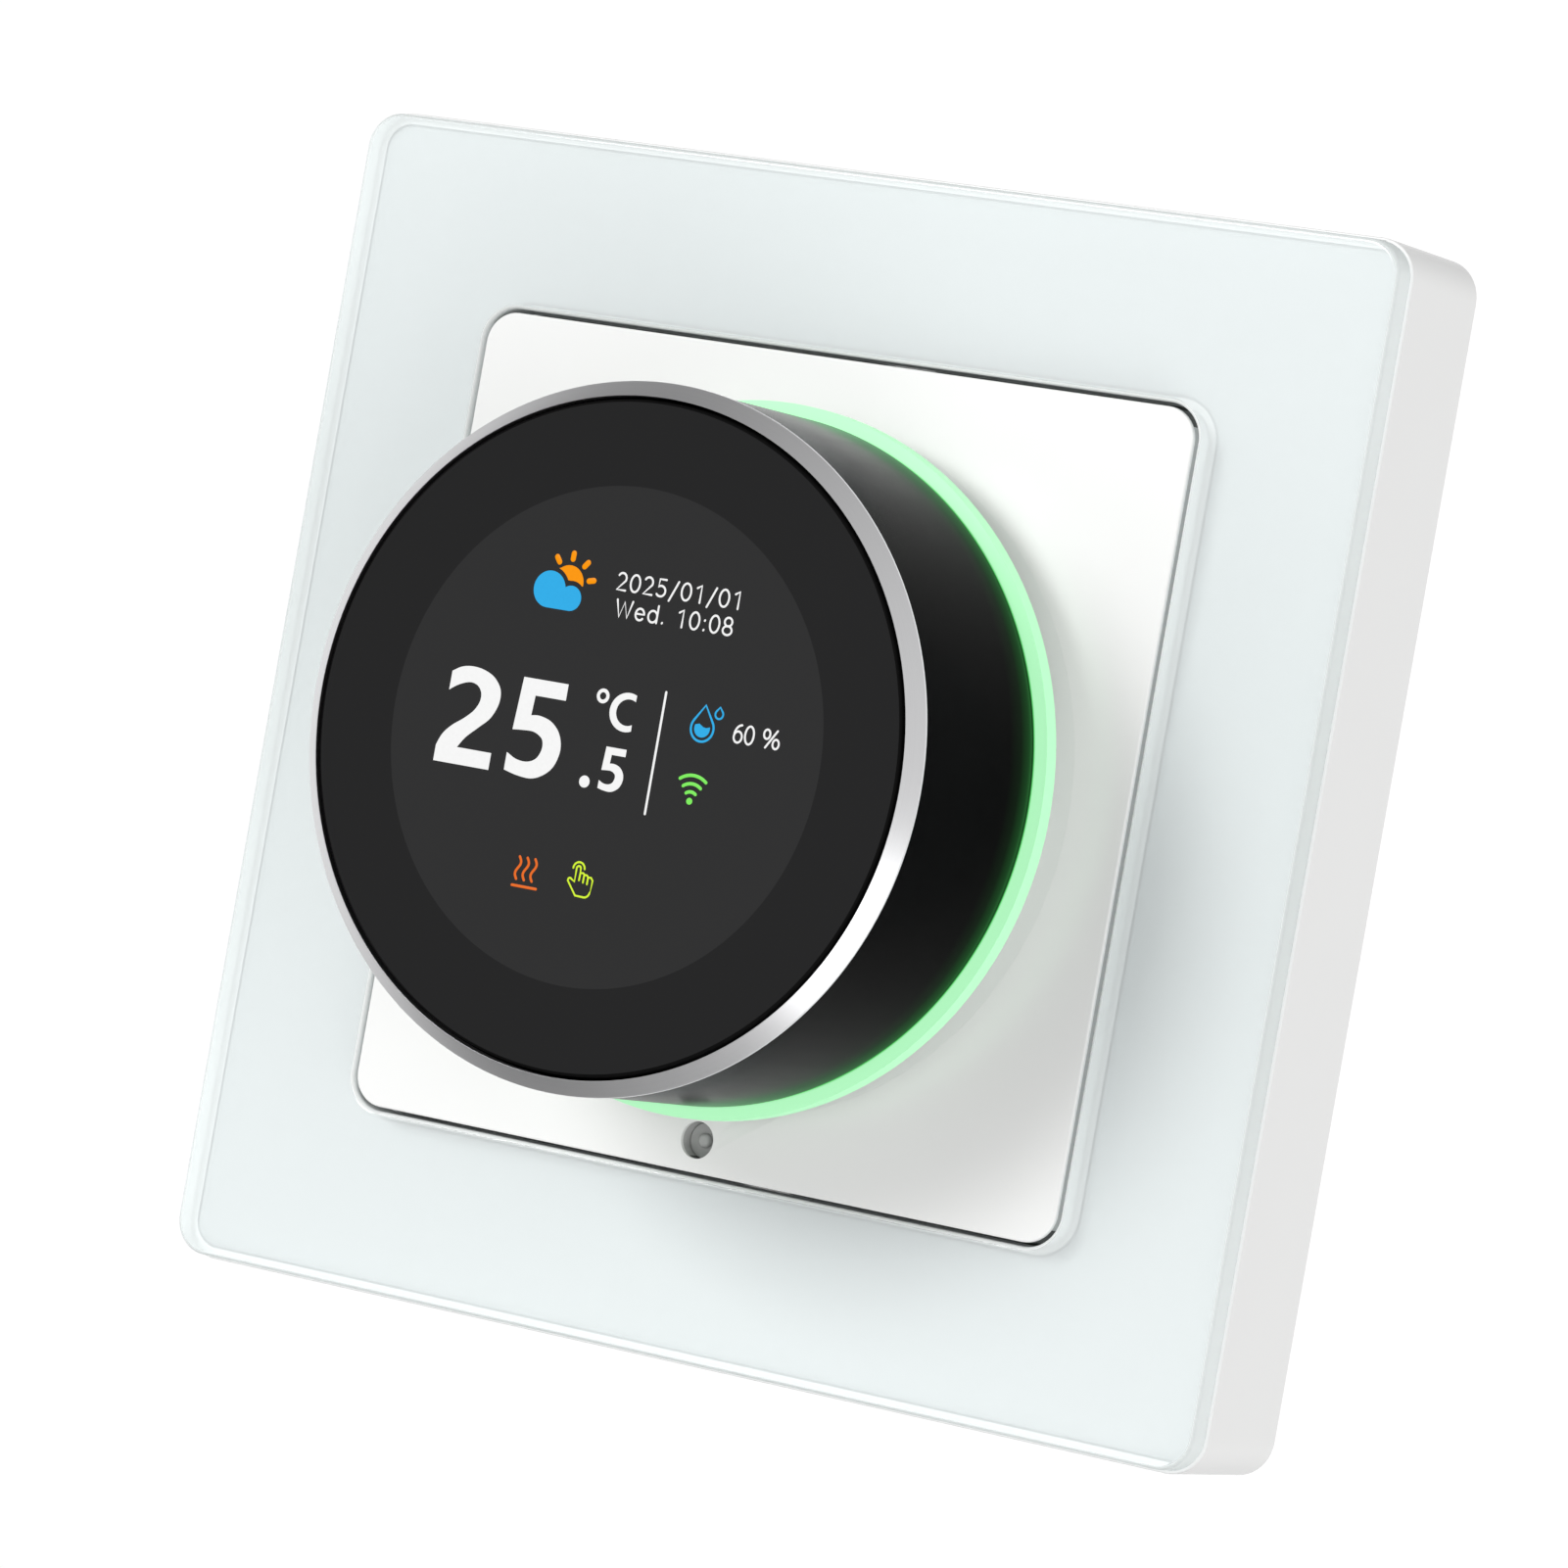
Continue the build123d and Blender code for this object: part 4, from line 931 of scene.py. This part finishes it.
class THERMOSTAT_OT_insert(Operator):
    """White insert with its sensor, and the lit ring under the knob"""

    bl_idname = "thermostat.insert"
    bl_label = "Insert and ring"

    def execute(self, context):
        sizes, colours = context.scene.thermostat_sizes, context.scene.thermostat_colours
        level = -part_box("glass_panel")[0].y
        # Its flanks behind a depth just under its front get painted shade.
        white = moulded(
            "White insert", colours.insert, roughness=0.25, depth=0.0015, mottle=0.012,
            dim=(level - sizes.insert_shade_depth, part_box("insert_cover")[1].x - sizes.insert_corner / 2),
        )
        smoothed("insert_cover", "shell_white", white)
        bead = moulded("Sensor resin", colours.sensor, roughness=0.35, mottle=0.1)
        smoothed("room_sensor", "sensor_grey", bead)
        low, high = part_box("light_ring")
        foot, top = -high.y, -low.y
        front = top - sizes.ring_step
        rim, under = high.x, front - sizes.ring_rim
        outer = rim - sizes.ring_flare
        seat, waist = outer + sizes.ring_seat, rim - sizes.ring_waist
        tube, bore = outer - sizes.ring_inset, outer - sizes.ring_wall
        ring = turned("lit_ring", [
            (seat, foot), (seat, level), (waist, level), (waist, under), (rim, under), (rim, front),
            (tube, front), (tube, top), (bore, top), (bore, foot),
        ], sizes.turn_sides, sizes.ring_edge)
        guide = lit_guide(
            "Lit guide", colours.glow, colours.spill, colours.bounce, colours.halo,
            under - sizes.ring_edge, bore, rim,
        )
        settle(ring, "wall_unit", "glow_green", guide, "light_ring")
        return {"FINISHED"}


class THERMOSTAT_OT_knob(Operator):
    """Black skirt and silver bezel, which turn round the display"""

    bl_idname = "thermostat.knob"
    bl_label = "Knob"

    def execute(self, context):
        sizes, colours = context.scene.thermostat_sizes, context.scene.thermostat_colours
        silver = turned_silver("Turned silver", colours.bezel)
        low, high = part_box("knob_skirt")
        back, front = -high.y, -low.y
        black = piano_black("Piano black", colours.skirt, colours.spill, back, sizes.spill_reach)
        bore = high.x - sizes.skirt_wall
        collar = bore - sizes.collar_reach
        skirt = turned("black_skirt", [
            (high.x, back), (high.x, front), (bore, front), (bore, sizes.collar_front),
            (collar, sizes.collar_front), (collar, sizes.collar_back), (bore, sizes.collar_back),
            (bore, back),
        ], sizes.turn_sides, sizes.skirt_edge)
        settle(skirt, "dial", "skirt_black", black, "knob_skirt")
        low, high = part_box("knob_bezel")
        bore = high.x - sizes.bezel_wall
        bezel = turned("silver_bezel", [
            (high.x, -high.y), (high.x, -low.y - sizes.bezel_drop), (bore, -low.y), (bore, -high.y),
        ], sizes.turn_sides, sizes.bezel_edge)
        settle(bezel, "dial", "bezel_silver", silver, "knob_bezel")
        return {"FINISHED"}


class THERMOSTAT_OT_display(Operator):
    """Smoked lens with the readings and signs that shine through it"""

    bl_idname = "thermostat.display"
    bl_label = "Display"

    def execute(self, context):
        sizes, colours = context.scene.thermostat_sizes, context.scene.thermostat_colours
        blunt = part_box("display_lens")[1].x - sizes.lens_rim
        lens = smoked_lens("Smoked lens", colours.lens, colours.display, sizes.display_radius, blunt)
        smoothed("display_lens", "lens_smoke", lens, "head")
        lit = {
            shade: shining(shade.capitalize() + " reading", getattr(colours, shade))
            for shade in ("white", "blue", "orange", "green", "red", "lime")
        }
        for shade, piece in self.readings(sizes):
            settle(piece, "head", "display_dark", lit[shade])
        return {"FINISHED"}

    def readings(self, sizes):
        """All lit pieces with the name of their colour; places on the lens are in millimetres."""
        fine, broad = sizes.fine_line / MM, sizes.broad_line / MM
        two, five = self.bold_two(), self.bold_five()
        yield "white", patch("reading_tens", boxed(two, left=-12.5, base=-3.4, width=4.3, height=6.44))
        yield "white", patch("reading_ones", boxed(five, left=-7.02, base=-3.45, width=3.95, height=6.39))
        tenth = patch("tenth_digit", boxed(five, left=0.22, base=-3.4, width=1.76, height=2.84))
        point = patch("tenth_point", arc((-0.84, -3.03), 0.39, 0, 345))
        yield "white", joined("reading_tenths", [tenth, point])
        letter = patch("unit_letter", self.unit_letter())
        ring = stroke("unit_ring", [arc((-0.57, 2.59), 0.36, 0, 360)], 1.2 * broad)
        yield "white", joined("reading_unit", [letter, ring])
        yield "white", readings_line(
            "reading_date", "2025/01/01", left=-1.0, base=9.48, width=9.45, height=1.1
        )
        yield "white", readings_line(
            "reading_time", "Wed. 10:08", left=-0.75, base=7.75, width=8.8, height=1.1
        )
        yield "white", stroke("display_divider", [[(4.05, 3.5), (4.05, -4.38)]], 1.3 * fine)
        yield "white", readings_line(
            "reading_humidity", "60 %", left=9.53, base=1.12, width=3.4, height=1.15, space=0.2
        )
        yield "blue", self.cloud()
        yield "orange", self.sun(broad)
        yield "blue", self.drops(fine)
        yield "green", self.signal(broad)
        yield "red", self.heat(broad)
        yield "lime", self.hand(fine)

    def straight(self, corners):
        """Straight runs from corner to corner."""
        return [list(run) for run in zip(corners, corners[1:])]

    def bold_two(self):
        """Outline of a bold two in a unit box."""
        over = [
            (0.065, 0.922), (0.22, 0.978), (0.4, 1.0), (0.6, 0.988), (0.8, 0.938), (0.94, 0.85),
            (0.99, 0.755), (0.97, 0.64), (0.87, 0.51), (0.7, 0.405), (0.5, 0.285), (0.377, 0.172),
        ]
        under = [
            (0.0, 0.162), (0.08, 0.28), (0.22, 0.38), (0.41, 0.47), (0.56, 0.56), (0.64, 0.655),
            (0.645, 0.74), (0.585, 0.805), (0.48, 0.837), (0.36, 0.832), (0.2, 0.79), (0.063, 0.73),
        ]
        foot = [over[-1], (1.0, 0.172), (1.0, 0.0), (0.0, 0.0), under[0]]
        return swept([over, *self.straight(foot), under, [under[-1], over[0]]])

    def bold_five(self):
        """Outline of a bold five in a unit box."""
        bowl = [
            (0.337, 0.629), (0.5, 0.638), (0.72, 0.605), (0.89, 0.525), (0.985, 0.415), (1.0, 0.29),
            (0.92, 0.15), (0.76, 0.055), (0.54, 0.0), (0.26, 0.008), (0.0, 0.042),
        ]
        inside = [
            (0.0, 0.221), (0.2, 0.167), (0.41, 0.16), (0.57, 0.205), (0.65, 0.3), (0.64, 0.39),
            (0.56, 0.44), (0.42, 0.471), (0.22, 0.468), (0.03, 0.458),
        ]
        flag = [(0.08, 1.0), (0.945, 1.0), (0.945, 0.832), (0.355, 0.832), bowl[0]]
        return swept([*self.straight(flag), bowl, [bowl[-1], inside[0]], inside, [inside[-1], flag[0]]])

    def unit_letter(self):
        """Open ring with upright ends, after the degree ring."""
        outside = arc((1.42, 1.8), 1.31, 66, 294, rise=1.27)
        return outside + arc((1.5, 1.8), 0.9, 299, 61, rise=0.86)

    def cloud(self):
        """Cloud of a large and a small round lobe on a flat foot."""
        small = arc(CLOUD_SMALL, radius=0.82, start=-90, end=128)
        return patch("sign_cloud", small + arc(CLOUD_LARGE, radius=1.2, start=13, end=270, steps=36))

    def sun(self, broad):
        """Sun that looks out behind the cloud, with four rays."""
        middle, first_ray, ray_step, ray_ends = (-4.65, 9.4), 127, 38.5, (1.55, 1.92)
        disc = patch("sun_disc", (
            arc(middle, radius=1.13, start=128, end=-5)
            + arc(CLOUD_SMALL, radius=1.14, start=50, end=100, steps=8)
            + arc(CLOUD_LARGE, radius=1.5, start=30, end=72, steps=8)
        ))
        rays = []
        for index in range(4):
            turn = math.radians(first_ray - ray_step * index)
            way = Vector((math.cos(turn), math.sin(turn)))
            rays.append([tuple(Vector(middle) + way * reach) for reach in ray_ends])
        return joined("sign_sun", [disc, stroke("sun_rays", rays, 1.9 * broad)])

    def drops(self, fine):
        """Outline of a drop, half full, and a small drop beside it."""
        def outline(middle, radius, rise):
            lean = math.degrees(math.acos(radius / rise))
            tip = (middle[0], middle[1] + rise)
            return [tip] + arc(middle, radius, 90 - lean, lean - 270, steps=40) + [tip]

        middle = (7.15, 1.62)
        water = arc(middle, 0.58, 160, 375) + [(7.45, 1.68), (7.2, 1.72), (6.9, 1.9)]
        return joined("sign_drops", [
            stroke("drop_large", [outline(middle, 0.84, 1.5)], 1.2 * fine),
            stroke("drop_small", [outline((8.22, 2.68), 0.29, 0.46)], fine),
            patch("drop_water", water),
        ])

    def signal(self, broad):
        """Three arcs over a dot."""
        foot, reaches = (7.15, -3.08), (0.6, 1.12, 1.66)
        arcs = stroke("signal_arcs", [arc(foot, reach, 126, 54) for reach in reaches], 1.1 * broad)
        return joined("sign_signal", [arcs, patch("signal_dot", arc(foot, 0.22, 0, 345))])

    def heat(self, broad):
        """Three waves that rise from a bar."""
        first, pitch, sway, top, drop = -4.66, 0.6, 0.16, -8.52, 1.45
        steps = [step / 24 for step in range(25)]
        lines = [[(-4.9, -10.4), (-3.05, -10.4)]]
        for index in range(3):
            middle = first + pitch * index
            lines.append([(middle + sway * math.sin(2 * math.pi * way), top - drop * way) for way in steps])
        return stroke("sign_heat", lines, 0.88 * broad)

    def hand(self, fine):
        """Outline of a hand with one finger out, and an arc round its tip."""
        outline = [
            (-0.27, -9.46), *arc((-0.11, -8.58), 0.16, 180, 20, steps=8), (0.06, -8.85),
            (0.28, -8.82), (0.4, -8.92), (0.58, -8.92), (0.72, -9.04), (0.92, -9.03), (1.07, -9.2),
            (1.03, -10.02), *arc((0.6, -9.95), 0.4, 0, -90, steps=8), (-0.05, -10.33),
            (-0.78, -9.46), *arc((-0.64, -9.4), 0.13, 160, 40, steps=6),
        ]
        fingers = [
            [(0.07, -8.8), (0.05, -9.32)], [(0.38, -8.9), (0.37, -9.42)], [(0.69, -9.02), (0.69, -9.48)],
        ]
        touch = arc((-0.1, -8.6), 0.43, 180, 5, steps=16)
        return stroke("sign_hand", [outline + outline[:1], touch] + fingers, fine)


class THERMOSTAT_OT_works(Operator):
    """Hub, gears, boards and switch behind the knob and the insert"""

    bl_idname = "thermostat.works"
    bl_label = "Inner works"

    def execute(self, context):
        travel, colours = context.scene.thermostat_sizes.press_travel, context.scene.thermostat_colours
        black = moulded("Black moulding", colours.moulding, roughness=0.5, depth=0.006, mottle=0.1)
        natural = moulded("Natural acetal", colours.acetal, roughness=0.42, mottle=0.03)
        board = circuit_board("Solder resist", colours.resist)
        spring = plated_steel("Spring steel", colours.spring, roughness=0.3)
        screws = plated_steel("Plated screws", colours.screws, roughness=0.28)
        resin = moulded("Lamp resin", colours.lamps, roughness=0.35)
        amber = amber_film("Amber film", colours.amber)
        dark = moulded("Display glass", colours.panel, roughness=0.12, mottle=0.1)
        dress(black, "head_carriage", "encoder_body", "switch_body")
        dress(black, "cable_socket", "pin_plug", "pin_socket")
        dress(natural, "encoder_pinion", "ring_gear", "switch_plunger")
        dress(board, "display_board", "front_board", "power_board")
        dress(spring, "dial_clip", "stem_washer")
        dress(screws, "board_screws", "unit_screws")
        dress(resin, "ring_leds")
        dress(dark, "display_panel")
        self.shortened("return_spring", "steel_spring", spring, travel)
        self.shortened("display_cable", "cable_amber", amber, travel)
        return {"FINISHED"}

    def shortened(self, node, slot, material, travel):
        """Copy of a node between wall and head; the head's travel is not used."""
        piece = smoothed(node, slot, material)
        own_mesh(piece)


class THERMOSTAT_OT_unit(Operator):
    """Yoke, housing, supply and terminals in the wall box"""

    bl_idname = "thermostat.unit"
    bl_label = "Wall unit"

    def execute(self, context):
        colours = context.scene.thermostat_colours
        steel = plated_steel("Plated steel", colours.yoke, roughness=0.36)
        shell = moulded(
            "Grey housing", colours.housing, roughness=0.5, grain=1500.0, depth=0.01, mottle=0.03
        )
        block = moulded("Terminal moulding", colours.terminals, roughness=0.42, grain=1500.0, depth=0.008)
        screws = plated_steel("Terminal screws", colours.terminal_screws, roughness=0.25)
        core = moulded("Ferrite", colours.ferrite, roughness=0.6, grain=900.0, depth=0.02, mottle=0.15)
        smoothed("support_yoke", "steel_plated", steel)
        smoothed("rear_housing", "housing_grey", shell)
        smoothed("terminal_block", "terminal_green", block)
        smoothed("terminal_screws", "steel_plated", screws)
        dress(shell, "unit_lid")
        dress(plated_steel("Clamp brass", colours.clamps, roughness=0.3), "terminal_clamps")
        dress(moulded("Relay case", colours.relay, roughness=0.3, mottle=0.05), "relay")
        dress(core, "transformer_core")
        dress(moulded("Coil tape", colours.tape, roughness=0.35, mottle=0.06), "transformer_coil")
        dress(moulded("Can sleeve", colours.sleeve, roughness=0.25, mottle=0.1), "capacitor")
        return {"FINISHED"}


class THERMOSTAT_OT_stage(Operator):
    """Pale floor, soft lamps, white surroundings and the camera"""

    bl_idname = "thermostat.stage"
    bl_label = "Stage"

    def execute(self, context):
        stage = context.scene.thermostat_stage
        self.floor(stage, context.scene.thermostat_colours.floor)
        self.lamp("Key lamp", stage.key_place, stage.key_width, stage.key_power)
        self.lamp("Fill lamp", stage.fill_place, stage.fill_width, stage.fill_power)
        self.surroundings(context.scene, stage)
        self.camera(context.scene, stage)
        context.scene.view_settings.view_transform = "Standard"
        return {"FINISHED"}

    def floor(self, stage, shade):
        """Round pale floor well under the part."""
        bpy.ops.object.select_all(action="DESELECT")
        bpy.ops.mesh.primitive_circle_add(
            vertices=stage.floor_sides, radius=stage.floor_reach, fill_type="NGON",
            location=(0, 0, -stage.floor_drop),
        )
        floor = bpy.context.object
        floor.name = "pale_floor"
        floor.data.materials.append(moulded("Pale floor", shade, roughness=0.8, grain=200.0, mottle=0.01))
        floor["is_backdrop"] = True

    def lamp(self, name, place, width, power):
        """Soft square lamp that looks at the part."""
        bpy.ops.object.light_add(type="AREA", location=place)
        lamp = bpy.context.object
        lamp.name = name
        lamp.data.size = width
        lamp.data.energy = power
        lamp.rotation_euler = (-Vector(place)).to_track_quat("-Z", "Y").to_euler()

    def surroundings(self, scene, stage):
        """White for the camera and through the glass, with other skies for light and for gloss.

        The sky for light is greyer overhead and underfoot. The one for gloss is white behind the wall.
        """
        wall_start, wall_end = 0.02, 0.2
        sky = Finish("White surroundings", world=True)
        seen = sky.seen("Is Camera Ray", "Is Transmission Ray")
        around = sky.node("ShaderNodeTexCoord", output="Generated")
        way = sky.node("ShaderNodeSeparateXYZ", inputs={0: around})
        across, back, height = [Value(sky, socket) for socket in way.socket.node.outputs]
        level = (1 - stage.sky_fall * height * height).ramp(0, 1)
        light = stage.sky_light * level * (1 + stage.sky_lean * across)
        front = stage.gloss_light + stage.gloss_lean * across
        gloss = front + back.ramp(wall_start, wall_end) * (1 - front)
        graded = light + sky.seen("Is Glossy Ray") * (gloss - light)
        strength = graded.math("MAXIMUM", graded, seen)
        scene.world = sky.done(sky.node(
            "ShaderNodeBackground", inputs={"Color": (1, 1, 1, 1), "Strength": strength}
        ))

    def camera(self, scene, stage):
        """Camera at the photograph's place, with its slight roll."""
        place, aim = Vector(stage.camera_place), Vector(stage.camera_aim)
        ahead = (aim - place).normalized()
        level = ahead.cross(Vector((0, 0, 1))).normalized()
        upright = level.cross(ahead)
        roll = stage.camera_roll
        right = math.cos(roll) * level + math.sin(roll) * upright
        up = math.cos(roll) * upright - math.sin(roll) * level
        bpy.ops.object.camera_add()
        camera = bpy.context.object
        camera.name = "Front right camera"
        camera.matrix_world = Matrix.Translation(place) @ Matrix((right, up, -ahead)).transposed().to_4x4()
        camera.data.lens = stage.focal_length
        camera.data.sensor_width = stage.sensor_width
        scene.camera = camera


class THERMOSTAT_PT_looks(Panel):
    """Lists the steps and the sizes, colours and lamps that they use"""

    bl_idname = "THERMOSTAT_PT_looks"
    bl_label = "Wall thermostat"
    bl_space_type = "VIEW_3D"
    bl_region_type = "UI"
    bl_category = "Thermostat"

    def draw(self, context):
        for step in STEPS:
            self.layout.operator(step.bl_idname)
        for group in (
            context.scene.thermostat_sizes, context.scene.thermostat_colours, context.scene.thermostat_stage
        ):
            box = self.layout.box()
            for key in group.__annotations__:
                box.prop(group, key)


STEPS = (
    THERMOSTAT_OT_frame, THERMOSTAT_OT_insert, THERMOSTAT_OT_knob, THERMOSTAT_OT_display,
    THERMOSTAT_OT_works, THERMOSTAT_OT_unit, THERMOSTAT_OT_stage,
)
CLASSES = (ThermostatSizes, ThermostatColours, ThermostatStage, *STEPS, THERMOSTAT_PT_looks)


def register():
    for made in CLASSES:
        bpy.utils.register_class(made)
    bpy.types.Scene.thermostat_sizes = PointerProperty(type=ThermostatSizes)
    bpy.types.Scene.thermostat_colours = PointerProperty(type=ThermostatColours)
    bpy.types.Scene.thermostat_stage = PointerProperty(type=ThermostatStage)


def unregister():
    del bpy.types.Scene.thermostat_stage
    del bpy.types.Scene.thermostat_colours
    del bpy.types.Scene.thermostat_sizes
    for made in reversed(CLASSES):
        bpy.utils.unregister_class(made)


def main():
    """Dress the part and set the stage."""
    register()
    bpy.ops.thermostat.frame()
    bpy.ops.thermostat.insert()
    bpy.ops.thermostat.knob()
    bpy.ops.thermostat.display()
    bpy.ops.thermostat.works()
    bpy.ops.thermostat.unit()
    bpy.ops.thermostat.stage()
    boxes = {"cad": cad_box, "visual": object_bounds()}
    {key: [list(corner) for corner in box] for key, box in boxes.items()}


if __name__ == "__main__":
    main()
